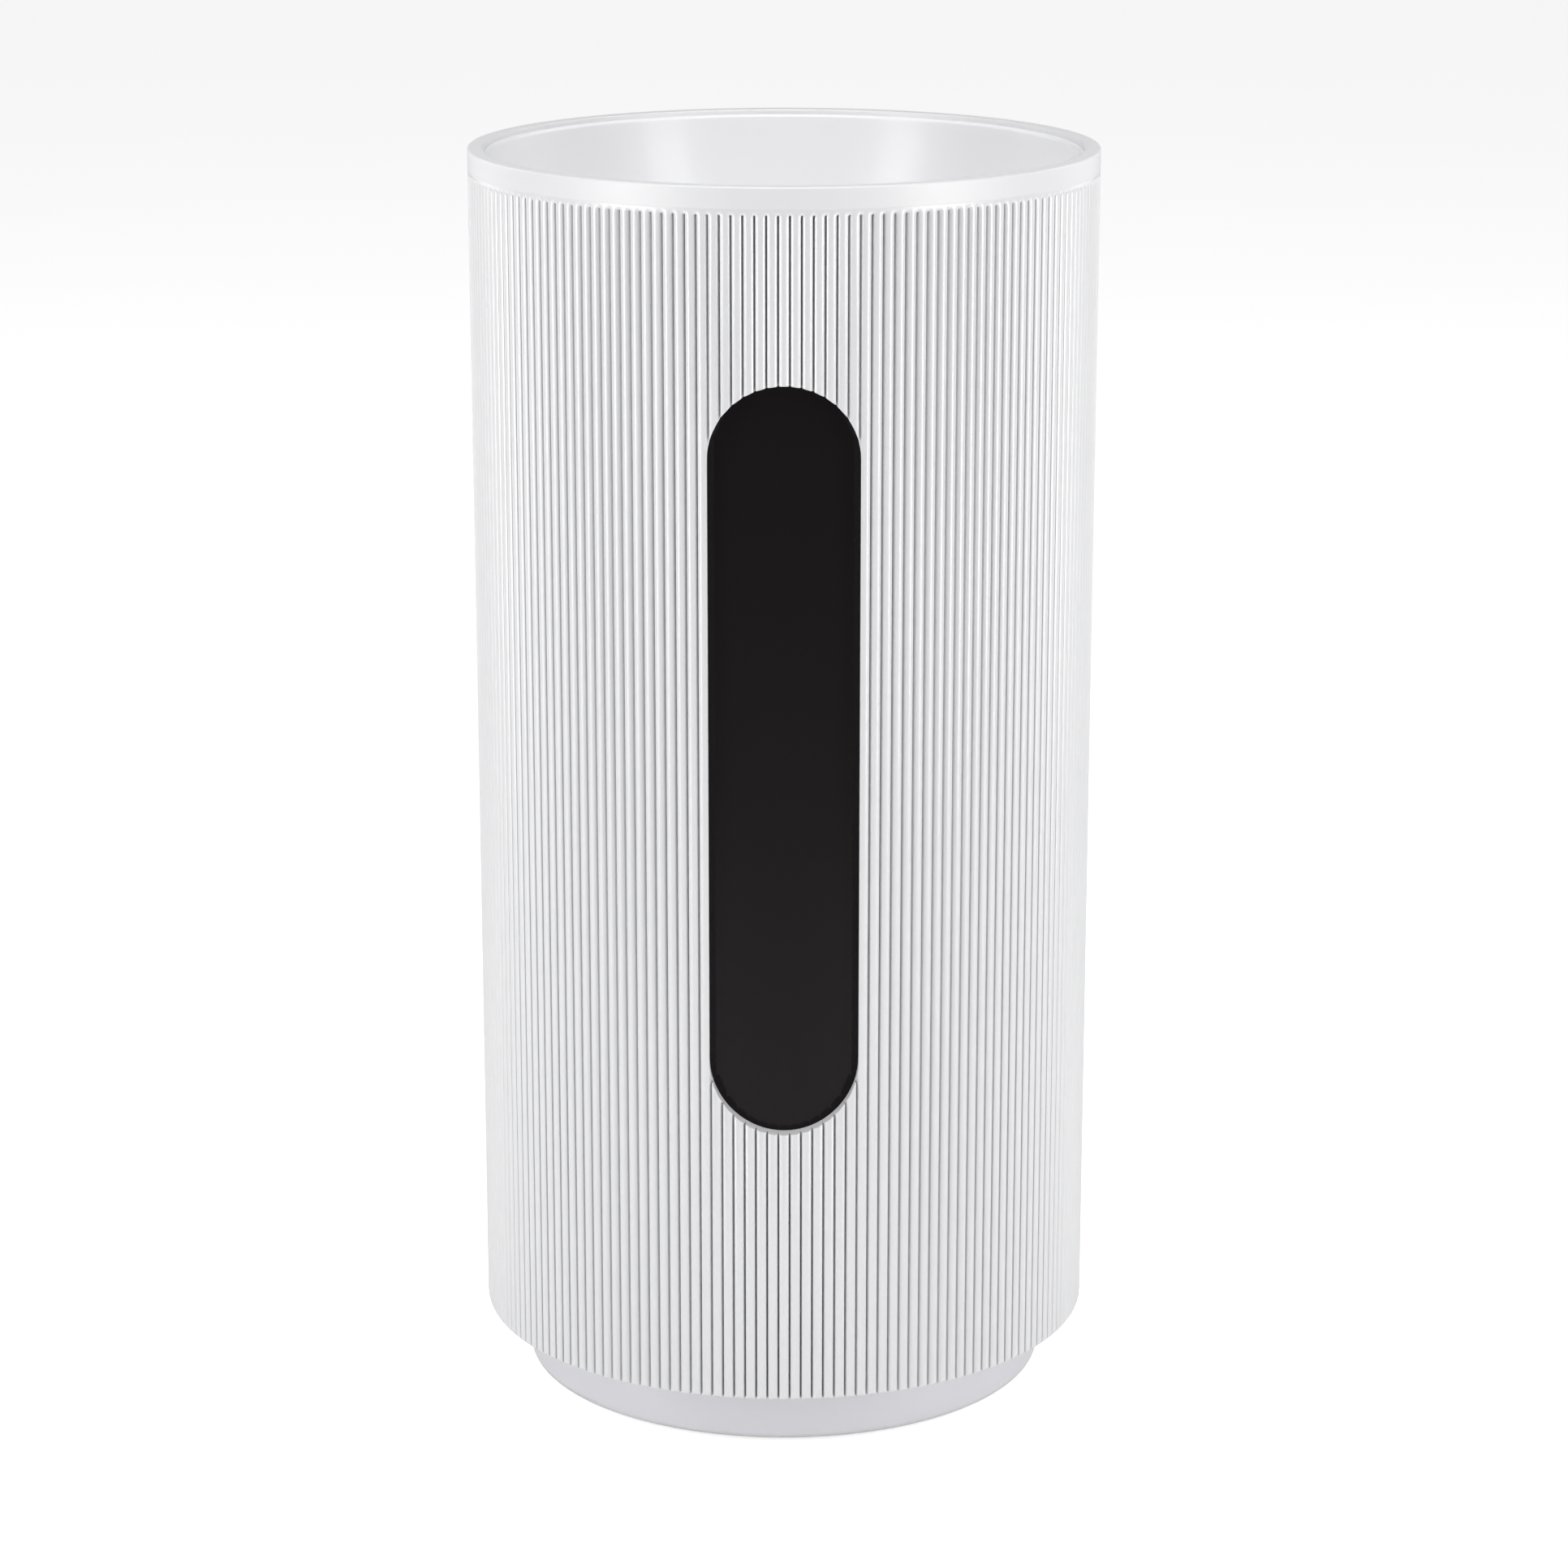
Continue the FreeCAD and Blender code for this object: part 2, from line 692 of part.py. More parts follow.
def rotor_magnets():
    outer = can_radius - 1.8
    return ring(outer, outer - 1.8, can_low + 4, back_plate_z - 1)


def motor_shaft():
    return disc(shaft_radius, can_low - 7, motor_flange_z + 1)


def impeller():
    """Backward-curved blades between a back plate and a shroud."""
    top = back_plate_z + plate
    back = ring(impeller_radius, can_radius + 0.0, back_plate_z, top)
    collar = ring(can_radius + 2.2, can_radius, can_low + 3, top)
    shroud_rise = 14.0
    shroud = revolved([
        (eye_radius, shroud_low), (eye_radius + plate, shroud_low), (eye_radius + plate, shroud_low + 4),
        (eye_radius + 5, shroud_low + 8.5, "arc"), (impeller_radius, shroud_low + shroud_rise),
        (impeller_radius, shroud_low + shroud_rise + plate),
        (eye_radius + 3.2, shroud_low + 10, "arc"), (eye_radius, shroud_low + 4)])
    inner_blade = can_radius + 11
    start = Vector(inner_blade, 0, 0)
    end = Vector(*on_circle(impeller_radius - 0.5, -44), 0)
    middle = Vector(*on_circle((inner_blade + impeller_radius) / 2 + 2.5, -17), 0)
    spine = Part.Wire([Part.Arc(start, middle, end).toShape()])
    outline = spine.makeOffset2D(0.8, fill=True, openResult=True)
    blade = Part.Face(outline.OuterWire) if outline.Faces else Part.Face(outline)
    blade.translate(Vector(0, 0, shroud_low + 5))
    blade = blade.extrude(Vector(0, 0, back_plate_z - shroud_low - 4))
    space = revolved([
        (can_radius + 8, shroud_low + 9), (eye_radius - 1, shroud_low + 9),
        (eye_radius + 4.2, shroud_low + 11, "arc"), (impeller_radius, shroud_low + shroud_rise + 1),
        (impeller_radius, back_plate_z + 1), (can_radius + 8, back_plate_z + 1)])
    blade = blade.common(space)
    blades = polar(blade, [360 / blade_count * n for n in range(blade_count)])
    return joined(back, collar, shroud, *blades)


def hub_nut():
    across = 4.0
    sides = [Vector(*on_circle(across, 60 * n), can_low - 4) for n in range(7)]
    prism = Part.Face(Part.makePolygon(sides)).extrude(Vector(0, 0, 4))
    return prism.cut(disc(shaft_radius, can_low - 5, can_low + 1))


# ---------------------------------------------------------------- outlet
def outlet_bowl():
    """A smooth liner from the lip down to the seat of the grille."""
    lip_top = rim_z - lip_drop
    outer = sleeve_bore
    inner = outer - lip_width
    outer_edge = 0.8
    inner_edge = 1.2
    seat = grille_radius + fit_gap
    middle_z = (lip_top + grille_top) / 2
    middle_r = (inner + seat) / 2 + 2.2
    flange_radius = frame_radius - 0.4
    body = revolved([
        (outer, lip_top - outer_edge), arc_point(outer - outer_edge, lip_top - outer_edge, outer_edge, 45),
        (outer - outer_edge, lip_top),
        (inner + inner_edge, lip_top),
        arc_point(inner + inner_edge, lip_top - inner_edge, inner_edge, 135), (inner, lip_top - inner_edge),
        (middle_r, middle_z, "arc"), (seat, grille_top),
        (seat, grille_bottom), (seat - 4, grille_bottom), (seat - 4, flange_z),
        (flange_radius, flange_z), (flange_radius, grille_bottom),
        (seat + bowl_wall + 0.8, grille_bottom), (seat + bowl_wall, grille_top + 1),
        (middle_r + bowl_wall, middle_z, "arc"), (outer, lip_top - 9)])
    return without(body, window_clearance(grille_bottom + 1))


grille_rings = 3
grille_vanes = 36
grille_hub = 27.0


def outlet_grille():
    low = grille_bottom
    high = grille_top
    rim = ring(grille_radius, grille_radius - 2.6, low, high)
    hub = disc(grille_hub, low + 1, high - 0.6)
    rings = []
    step = (grille_radius - grille_hub) / (grille_rings + 1)
    for n in range(1, grille_rings + 1):
        middle = grille_hub + n * step
        rings.append(ring(middle + 0.7, middle - 0.7, low + 2, high - 1.4))
    vane = block(-0.7, 0.7, grille_hub - 1, grille_radius - 1, low - 2, high + 2)
    centre = (low + high) / 2
    vane.rotate(Vector(0, 0, centre), Vector(0, 1, 0), 30)
    channel = ring(grille_radius - 1, grille_hub - 0.5, low + 0.6, high - 0.4)
    vanes = [v.common(channel) for v in polar(vane, [360 / grille_vanes * n for n in range(grille_vanes)])]
    recess = disc(grille_hub - 3, high - 1.8, high)
    return without(joined(rim, hub, *rings, *vanes), recess)


def grille_badge():
    """The plain domed disc in the grille's hub."""
    radius = grille_hub - 3.1
    low = grille_top - 1.8
    top = low + 2.1
    return disc(radius, low, top).common(dome_ball(radius, 0.9, top)[0])


# ---------------------------------------------------------------- window and its electronics
def window_lens():
    margin = window_side_margin
    pill = upright_pill(window_half_width + margin, window_low - margin, window_high + margin,
                        -sleeve_radius, 0)
    return ring(lens_radius, bracket_radius, plinth_height, rim_z).common(pill)


display_half_width = 16.0
display_low = window_low + 12.0
display_high = deck_bottom - 9.0
display_y = -(bracket_radius - 5.2)
bar_inset = 4.0            # the bracket's bars from the display board's ends
bar_half_height = 2.5


def lens_bracket():
    margin = window_side_margin
    wide = upright_pill(window_half_width + margin, window_low - margin, window_high + margin,
                        -sleeve_radius, 0)
    narrow = upright_pill(window_half_width - 5, window_low + 5, window_high - 5, -sleeve_radius, 0)
    shell = ring(bracket_radius, bracket_radius - bracket_depth, plinth_height, rim_z)
    board_bars = (display_low + bar_inset, display_high - bar_inset)
    bars = [block(-window_half_width, window_half_width, -sleeve_radius, -60,
                  z - bar_half_height, z + bar_half_height)
            for z in (*board_bars, (deck_top + window_high) / 2)]
    body = joined(wide.cut(narrow), *[bar.common(wide) for bar in bars]).common(shell)
    posts = []
    for x in (-10, 10):
        for z in board_bars:
            posts.append(Part.makeCylinder(2, 3.6, Vector(x, display_y, z), Vector(0, -1, 0)))
    return joined(body, *posts)


def display_board():
    return block(-display_half_width, display_half_width, display_y, display_y + 1.6, display_low, display_high)


led_count = 6
guide_overhang = 2.0       # the light guide reaches this far past the first and last light


def led_heights():
    """Evenly spaced between the bracket's two bars."""
    first = display_low + bar_inset + bar_half_height + guide_overhang + 0.5
    last = display_high - bar_inset - bar_half_height - guide_overhang - 0.5
    return [first + (last - first) * n / (led_count - 1) for n in range(led_count)]


def status_leds():
    return [block(-1, 1, display_y - 0.8, display_y, z - 1, z + 1) for z in led_heights()]


def light_guide():
    near = -(bracket_radius - 0.2)
    heights = led_heights()
    return block(-4, 4, near, display_y - 0.8, heights[0] - guide_overhang, heights[-1] + guide_overhang)


def touch_pads():
    """Conductive foam posts that carry the touch contacts to the back of the lens."""
    middle = (display_low + display_high) / 2
    posts = [Part.makeCylinder(2.4, 8, Vector(x, display_y, z), Vector(0, -1, 0))
             for x in (-9.5, 9.5) for z in (middle - 7, middle + 7)]
    return [post.common(disc(bracket_radius - 0.05, plinth_height, rim_z)) for post in posts]


def hall_sensor():
    x, y = on_circle(stud_circle, -60)
    return block(x - 2, x + 2, y - 1.5, y + 1.5, ring_high, ring_high + 1.2)


# ---------------------------------------------------------------- back: power and control
lead_x = board_half_width - 10.0
mains_x = 10.0
connector_top = board_low + board_height - 8.0


def control_board():
    return block(-board_half_width, board_half_width, board_y, board_y + 1.6,
                 board_low, board_low + board_height)


def board_components():
    face = board_y + 1.6
    low = board_low
    made = [
        block(-20, -4, face, face + 7, low + 10, low + 26),                            # transformer
        block(-lead_x - 5, -lead_x + 5, face, face + 3, low + 4, low + 8),             # display connector
        block(-8, 4, face, face + 1.2, low + 52, low + 64),                            # controller
        block(lead_x - 5, lead_x + 5, face, face + 4, connector_top - 8, connector_top),    # motor connector
    ]
    for x, z in ((4, 20), (14, 20), (6, 38)):
        made.append(Part.makeCylinder(4, 7, Vector(x, face, low + z), Vector(0, 1, 0)))
    return made


def board_cover():
    """A tray that keeps the intake air off the board. It is open towards the sleeve."""
    near = board_y - 4
    high = board_low + board_height
    side = board_half_width + 4
    outer = block(-side, side, near, sleeve_radius, board_low - 4, high + 4)
    inner = block(1.2 - side, side - 1.2, near + 1.2, sleeve_radius, board_low - 2.8, high + 2.8)
    posts = []
    for x in (3 - board_half_width, board_half_width - 3):
        for z in (board_low + 4, high - 4):
            posts.append(Part.makeCylinder(2.5, board_y - near - 1, Vector(x, near + 1, z), Vector(0, 1, 0)))
    shell = outer.cut(inner).common(disc(sleeve_bore, plinth_height, rim_z))
    notches = [block(x - 5, x + 5, near + 2, sleeve_radius, z - 2, z + 2)
               for x, z in ((-lead_x, board_low - 3.4), (mains_x, board_low - 3.4), (lead_x, high + 3.4))]
    return without(joined(shell, *posts), *notches)


socket_half_width = 8.6
socket_half_height = 4.3
socket_depth = 12.0


def inlet_plate():
    """The plate that fills the sleeve's cut-out around the socket."""
    fill = lying_pill(inlet_half_width - fit_gap, inlet_half_height - fit_gap, inlet_z, 0, sleeve_radius)
    skirt = lying_pill(inlet_half_width + 3, inlet_half_height + 3, inlet_z, 0, sleeve_radius)
    front = fill.common(ring(sleeve_radius - 2.4, lens_radius - 1, plinth_height, rim_z))
    back = skirt.common(ring(lens_radius, lens_radius - 2, plinth_height, rim_z))
    socket = lying_pill(socket_half_width + 1.2, socket_half_height + 1.2, inlet_z, 0, sleeve_radius)
    return without(joined(front, back), socket)


def power_socket():
    face = sleeve_radius - 3.2
    body = lying_pill(socket_half_width + 1.1, socket_half_height + 1.1, inlet_z, face - socket_depth - 3, face)
    recess = lying_pill(socket_half_width, socket_half_height, inlet_z, face - socket_depth, face + 1)
    return body.cut(recess)


def socket_pins():
    base = sleeve_radius - 3.2 - socket_depth
    return [Part.makeCylinder(1.2, socket_depth - 3, Vector(x, base, inlet_z), Vector(0, 1, 0))
            for x in (-4.3, 4.3)]


def particle_sensor():
    """A flat box on the inside of the rib at +X, with a hole for the air it measures."""
    back = frame_radius - rib_reach
    body = block(back - 9, back, -15, 15, 0, 38)
    body = body.cut(Part.makeCylinder(4, 5, Vector(back - 10, 7, 26), Vector(1, 0, 0)))
    body.translate(Vector(0, 0, plinth_height + 40))
    return body


def motor_lead():
    """From the board, up between the duct and the sleeve, and along a vane into the hub."""
    y = board_y + 3.6
    under_deck = deck_bottom - 4 - connector_top
    route = [(lead_x, y, connector_top), (lead_x, y, connector_top + 0.3 * under_deck)]
    beside_deck = connector_top + 0.8 * under_deck
    rise = cable_z - beside_deck
    for share, swing in ((0.0, 0.0), (0.35, 3.0), (0.7, 1.0)):
        route.append((*on_circle(cable_circle, cable_angle + swing), beside_deck + rise * share))
    route.append((*on_circle(cable_circle, cable_angle), cable_z, 3.2))
    route.append((*on_circle(lead_end_circle, cable_angle), cable_z, 4.5))
    route.append((*on_circle(lead_end_circle, cable_angle), motor_flange_z + 3))
    return lead(route, cable_radius)


def display_lead():
    """Down from the display, round the -X side of the filter and up to the board."""
    circle = filter_radius + 9.4
    level = plinth_height + 29
    y = display_y + 0.8
    route = [(0, y, display_low), (0, y, level + 30)]
    for angle in range(-100, -245, -24):
        route.append((*on_circle(circle, angle), level))
    route.append((-lead_x, board_y + 0.8, level + 2))
    route.append((-lead_x, board_y + 0.8, board_low))
    return lead(route, cable_radius)


def mains_lead():
    top = inlet_z + socket_half_height + 1.1
    start_y = sleeve_radius - 3.2 - socket_depth + 4
    end_y = board_y + 0.8
    rise = board_low - top
    route = [(3, start_y, top), (3, start_y, top + rise * 0.35),
             (mains_x, end_y, top + rise * 0.65), (mains_x, end_y, board_low)]
    return lead(route, 1.2)


# ---------------------------------------------------------------- write the parts
def main():
    nodes = {
        "rubber_foot": rubber_foot(), "plinth": plinth(), "ballast_disc": ballast_disc(),
        "filter_tray": filter_tray(), "base_magnet": base_magnet(), "tray_screws": tray_screws(),
        "latch_plate": latch_plate(), "release_button": release_button(), "latch_spring": latch_spring(),
        "filter_cap_bottom": filter_cap_bottom(), "filter_cap_top": filter_cap_top(),
        "prefilter_net": prefilter_net(), "filter_media": filter_media(), "carbon_core": carbon_core(),
        "filter_gasket": filter_gasket(),
        "sleeve": sleeve(), "intake_ring": intake_ring(), "frame_screws": frame_screws(),
        "lock_studs": lock_studs(), "frame": frame(), "fan_deck": fan_deck(), "fan_duct": fan_duct(),
        "deck_screws": deck_screws(), "diffuser": diffuser(), "tail_cone": tail_cone(),
        "motor_base": motor_base(), "motor_grommets": motor_grommets(), "motor_screws": motor_screws(),
        "stator_core": stator_core(), "stator_windings": stator_windings(),
        "bearing_lower": bearing_lower(), "bearing_upper": bearing_upper(),
        "motor_can": motor_can(), "rotor_magnets": rotor_magnets(), "motor_shaft": motor_shaft(),
        "impeller": impeller(), "hub_nut": hub_nut(),
        "outlet_bowl": outlet_bowl(), "outlet_grille": outlet_grille(), "grille_badge": grille_badge(),
        "window_lens": window_lens(), "lens_bracket": lens_bracket(), "display_board": display_board(),
        "status_leds": status_leds(), "light_guide": light_guide(), "touch_pads": touch_pads(),
        "hall_sensor": hall_sensor(), "control_board": control_board(),
        "board_components": board_components(), "board_cover": board_cover(),
        "inlet_plate": inlet_plate(), "power_socket": power_socket(), "socket_pins": socket_pins(),
        "particle_sensor": particle_sensor(),
    }
    for name, made in (("motor_lead", motor_lead()), ("display_lead", display_lead()),
                       ("mains_lead", mains_lead())):
        nodes[name] = made[0]
        print(name, "bend radii", made[1], "length", round(made[0].Volume / (math.pi * 2.25), 1))
    os.makedirs("parts", exist_ok=True)
    for name, shape in nodes.items():
        if isinstance(shape, list):
            shape = Part.makeCompound(shape)
        if not shape.isValid() or not shape.Solids:
            print("CHECK", name, "valid", shape.isValid(), "solids", len(shape.Solids))
        print(f"{name:20s} solids {len(shape.Solids):3d} volume {shape.Volume:12.1f}")
        shape.exportStep(f"parts/{name}.step")


main()
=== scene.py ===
import json
import math

import bmesh
import bpy
import numpy as np
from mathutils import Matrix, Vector


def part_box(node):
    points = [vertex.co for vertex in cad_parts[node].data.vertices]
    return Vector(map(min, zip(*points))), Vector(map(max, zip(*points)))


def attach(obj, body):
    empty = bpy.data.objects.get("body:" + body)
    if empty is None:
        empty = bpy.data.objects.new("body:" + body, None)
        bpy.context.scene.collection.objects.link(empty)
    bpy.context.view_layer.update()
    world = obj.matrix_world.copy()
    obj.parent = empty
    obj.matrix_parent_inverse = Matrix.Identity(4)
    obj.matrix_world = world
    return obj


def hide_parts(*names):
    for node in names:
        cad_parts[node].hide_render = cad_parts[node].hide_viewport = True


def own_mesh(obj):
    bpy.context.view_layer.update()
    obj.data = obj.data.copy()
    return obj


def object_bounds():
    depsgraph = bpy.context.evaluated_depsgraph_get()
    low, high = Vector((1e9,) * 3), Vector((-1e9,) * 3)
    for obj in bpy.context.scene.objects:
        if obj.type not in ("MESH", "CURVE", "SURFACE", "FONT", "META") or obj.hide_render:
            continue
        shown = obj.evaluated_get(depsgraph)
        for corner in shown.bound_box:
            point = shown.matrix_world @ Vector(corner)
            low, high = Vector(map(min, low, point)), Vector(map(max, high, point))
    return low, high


# A tower air purifier: reeded sleeve, open bowl outlet, pill window, set-back plinth.
# Metres, +Z up, the window faces -Y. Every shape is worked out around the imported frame.

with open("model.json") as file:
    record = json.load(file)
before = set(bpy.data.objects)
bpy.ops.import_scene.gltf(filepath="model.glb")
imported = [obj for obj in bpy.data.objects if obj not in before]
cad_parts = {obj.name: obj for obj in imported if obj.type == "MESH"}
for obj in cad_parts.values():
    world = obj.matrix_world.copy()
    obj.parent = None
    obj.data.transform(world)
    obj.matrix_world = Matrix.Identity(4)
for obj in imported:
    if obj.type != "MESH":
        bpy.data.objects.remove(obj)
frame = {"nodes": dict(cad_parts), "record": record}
cadBox = [list(corner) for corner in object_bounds()]
nodes = frame["nodes"]
print("frame loaded,", len(nodes), "nodes")
sleeveLow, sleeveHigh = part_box("sleeve")[0][2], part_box("sleeve")[1][2]
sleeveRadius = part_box("sleeve")[1][0]
mergeDistance = 1e-6
bandHeight = 0.0066               # the plain band under the sleeve's rim


def finished(name, points, faces, creaseAngle=35):
    # corners that fall together are merged, and the faces are turned outwards
    mesh = bpy.data.meshes.new(name)
    mesh.from_pydata(points.tolist(), [], faces)
    work = bmesh.new()
    work.from_mesh(mesh)
    bmesh.ops.remove_doubles(work, verts=work.verts, dist=mergeDistance)
    bmesh.ops.dissolve_degenerate(work, edges=work.edges, dist=mergeDistance)
    bmesh.ops.recalc_face_normals(work, faces=work.faces)
    work.to_mesh(mesh)
    work.free()
    mesh.shade_smooth()
    mesh.set_sharp_from_angle(angle=math.radians(creaseAngle))
    piece = bpy.data.objects.new(name, mesh)
    bpy.context.scene.collection.objects.link(piece)
    return piece


def meshFrom(name, points, quads, creaseAngle=35):
    # points is (n, 3), quads is (m, 4)
    return finished(name, points.reshape(-1, 3), quads.reshape(-1, 4).tolist(), creaseAngle)


def gridQuads(rows, columns, closedRows=False, closedColumns=False):
    # corner numbers of the cells of a grid whose points are stored row after row
    i, j = np.meshgrid(np.arange(rows if closedRows else rows - 1),
                       np.arange(columns if closedColumns else columns - 1), indexing="ij")
    iNext, jNext = (i + 1) % rows, (j + 1) % columns
    row, rowNext = i * columns, iNext * columns
    corners = np.stack([row + j, row + jNext, rowNext + jNext, rowNext + j], -1)
    return corners.reshape(-1, 4)


def filleted(corners, steps=6):
    # outline through (r, z, radius) corners, each rounded by an arc tangent to its two sides
    outline = []
    for n, (r, z, radius) in enumerate(corners):
        here = np.array([r, z])
        if radius == 0:
            outline.append(here[None, :])
            continue
        back = np.array(corners[n - 1][:2]) - here
        ahead = np.array(corners[(n + 1) % len(corners)][:2]) - here
        back, ahead = back / np.linalg.norm(back), ahead / np.linalg.norm(ahead)
        half = math.acos(np.clip(back @ ahead, -1, 1)) / 2
        middle = here + (back + ahead) / np.linalg.norm(back + ahead) * radius / math.sin(half)
        enter = here + back * radius / math.tan(half) - middle
        leave = here + ahead * radius / math.tan(half) - middle
        turn = math.pi - 2 * half
        t = np.linspace(0, 1, steps + 1)[:, None]
        arc = np.sin((1 - t) * turn) * enter + np.sin(t * turn) * leave
        outline.append(middle + arc / math.sin(turn))
    return np.concatenate(outline)


def latheGrid(outline, segments):
    # a closed (r, z) outline carried once round the Z axis, as points and quads
    angle = np.linspace(0, 2 * np.pi, segments, endpoint=False)[:, None]
    r, z = outline[None, :, 0], outline[None, :, 1]
    points = np.stack([r * np.sin(angle), -r * np.cos(angle), z + 0 * angle], -1)
    return points.reshape(-1, 3), gridQuads(segments, len(outline), closedRows=True, closedColumns=True), []


def bladeFaces(rows, columns):
    # a grid closed round its columns, with a face over each open end
    ends = [list(range(columns))[::-1], list(range((rows - 1) * columns, rows * columns))]
    return gridQuads(rows, columns, closedColumns=True), ends


def lathe(name, outline, segments=192, creaseAngle=35):
    points, quads, _ = latheGrid(outline, segments)
    return meshFrom(name, points, quads, creaseAngle)


def shellsMesh(name, shells, creaseAngle=35):
    # several closed shells, each of points, quads and end faces, in one piece
    points, faces, total = [], [], 0
    for shellPoints, quads, ends in shells:
        points.append(shellPoints)
        faces += (quads + total).tolist() + [[corner + total for corner in end] for end in ends]
        total += len(shellPoints)
    return finished(name, np.concatenate(points), faces, creaseAngle)


class Value:
    # one output of a node; arithmetic on it adds Math nodes
    def __init__(self, finish, socket):
        self.finish = finish
        self.socket = socket

    def combine(self, operation, first, second):
        return self.finish.add("ShaderNodeMath", {"operation": operation}, {0: first, 1: second})

    def __add__(self, other):
        return self.combine("ADD", self, other)

    def __radd__(self, other):
        return self.combine("ADD", other, self)

    def __rsub__(self, other):
        return self.combine("SUBTRACT", other, self)

    def __mul__(self, other):
        return self.combine("MULTIPLY", self, other)

    def __rmul__(self, other):
        return self.combine("MULTIPLY", other, self)


class Finish:
    # a material round one Principled shader, whose steady values are set on its own sockets
    def __init__(self, name, **steady):
        self.material = bpy.data.materials.new(name)
        self.material.use_nodes = True
        self.tree = self.material.node_tree
        self.shader = self.tree.nodes["Principled BSDF"]
        for socket, value in steady.items():
            self.shader.inputs[socket.replace("_", " ")].default_value = value
        self.place = self.add("ShaderNodeTexCoord", out="Object")

    def add(self, kind, settings=None, sockets=None, out=0):
        # settings first, then the values or links of the sockets
        node = self.tree.nodes.new(kind)
        for key, value in (settings or {}).items():
            if key == "stops":
                ramp = node.color_ramp
                while len(ramp.elements) < len(value):
                    ramp.elements.new(0.5)
                for element, (position, colour) in zip(ramp.elements, value):
                    element.position, element.color = position, colour
            else:
                setattr(node, key, value)
        for key, value in (sockets or {}).items():
            self.join(value, node.inputs[key])
        return Value(self, node.outputs[out])

    def join(self, value, socket):
        if isinstance(value, Value):
            self.tree.links.new(value.socket, socket)
        else:
            socket.default_value = value

    def feed(self, **sockets):
        for socket, value in sockets.items():
            self.join(value, self.shader.inputs[socket.replace("_", " ")])
        return self

    def noise(self, scale, detail=3.0, roughness=0.5, place=None):
        return self.add("ShaderNodeTexNoise", {}, {"Vector": place or self.place, "Scale": scale,
                                                   "Detail": detail, "Roughness": roughness})

    def upright(self, share):
        # Object coordinates with Z scaled down, for a grain drawn out along Z
        return self.add("ShaderNodeMapping", {}, {"Vector": self.place, "Scale": (1, 1, share)})

    def bump(self, height, distance):
        # height from 0 to 1, distance in metres
        return self.add("ShaderNodeBump", {}, {"Height": height, "Distance": distance})

    def mix(self, factor, first, second):
        # sockets 6, 7 and output 2 are the colour ones
        return self.add("ShaderNodeMix", {"data_type": "RGBA"},
                        {"Factor": factor, 6: first, 7: second}, out=2)


def rgb(r, g, b):
    return (r, g, b, 1.0)


def mouldedPlastic(name, colour, roughness, grain=0.00002, grainScale=2600, mottle=0.03, **steady):
    # fine spark-eroded grain, faint cloudiness in the colour and handling marks in the gloss
    finish = Finish(name, **steady)
    cloud = finish.noise(18, 4)
    shade = tuple(c * (1 - mottle) for c in colour)
    finish.feed(Base_Color=finish.mix(cloud, rgb(*shade), rgb(*colour)))
    finish.feed(Roughness=roughness - 0.04 + 0.08 * finish.noise(60, 3))
    finish.feed(Normal=finish.bump(finish.noise(grainScale, 2), grain))
    return finish.material


def reededWhite():
    # glossy on the reeds, turning satin over a short blend below the band and the rim
    finish = Finish("reeded white", IOR=1.75, Specular_IOR_Level=1.0)
    cloud = finish.noise(18, 4)
    finish.feed(Base_Color=finish.mix(cloud, rgb(0.735, 0.735, 0.75), rgb(0.75, 0.75, 0.76)))
    height = finish.add("ShaderNodeSeparateXYZ", {}, {"Vector": finish.place}, out=2)
    bandLow, blend = sleeveHigh - bandHeight, 0.0006
    band = finish.add("ShaderNodeMapRange", {}, {"Value": height, "From Min": bandLow - blend,
                                                 "From Max": bandLow})
    finish.feed(Roughness=0.285 + 0.03 * finish.noise(60, 3) + 0.2 * band)
    finish.feed(Normal=finish.bump(finish.noise(420, 2), 0.000001))
    return finish.material


def linerWhite():
    return mouldedPlastic("liner white", (0.9, 0.9, 0.915), 0.34, grain=0.000003, grainScale=900,
                          mottle=0.01, Coat_Weight=0.25, Coat_Roughness=0.16)


def lensBlack():
    finish = Finish("lens black", Specular_IOR_Level=0.2)
    smoke = finish.noise(9, 2)
    finish.feed(Base_Color=finish.mix(smoke, rgb(0.005, 0.003, 0.004), rgb(0.006, 0.004, 0.005)))
    finish.feed(Roughness=0.08 + 0.05 * finish.noise(45, 4))
    finish.feed(Normal=finish.bump(finish.noise(300, 2), 0.000002))
    return finish.material


def baseGrey():
    return mouldedPlastic("base grey", (0.82, 0.82, 0.85), 0.42, grain=0.000008, mottle=0.015)


def frameGrey():
    return mouldedPlastic("frame grey", (0.42, 0.43, 0.45), 0.5, grain=0.00003, grainScale=1800,
                          mottle=0.05)


def darkPlastic():
    return mouldedPlastic("dark plastic", (0.03, 0.03, 0.033), 0.48, grain=0.00003, mottle=0.1)


def chassisWhite():
    return mouldedPlastic("chassis white", (0.75, 0.75, 0.76), 0.36, grain=0.00001, mottle=0.02)


def filterCap():
    return mouldedPlastic("filter cap", (0.13, 0.24, 0.32), 0.45, grain=0.00003, grainScale=1500,
                          mottle=0.06)


def rubber():
    # moulded rubber with dusty bloom
    finish = Finish("rubber", Specular_IOR_Level=0.3)
    bloom = finish.noise(120, 5, 0.65)
    finish.feed(Base_Color=finish.mix(bloom, rgb(0.025, 0.025, 0.027), rgb(0.055, 0.055, 0.057)))
    finish.feed(Roughness=0.7 + 0.15 * bloom)
    finish.feed(Normal=finish.bump(finish.noise(1500, 3), 0.00004))
    return finish.material


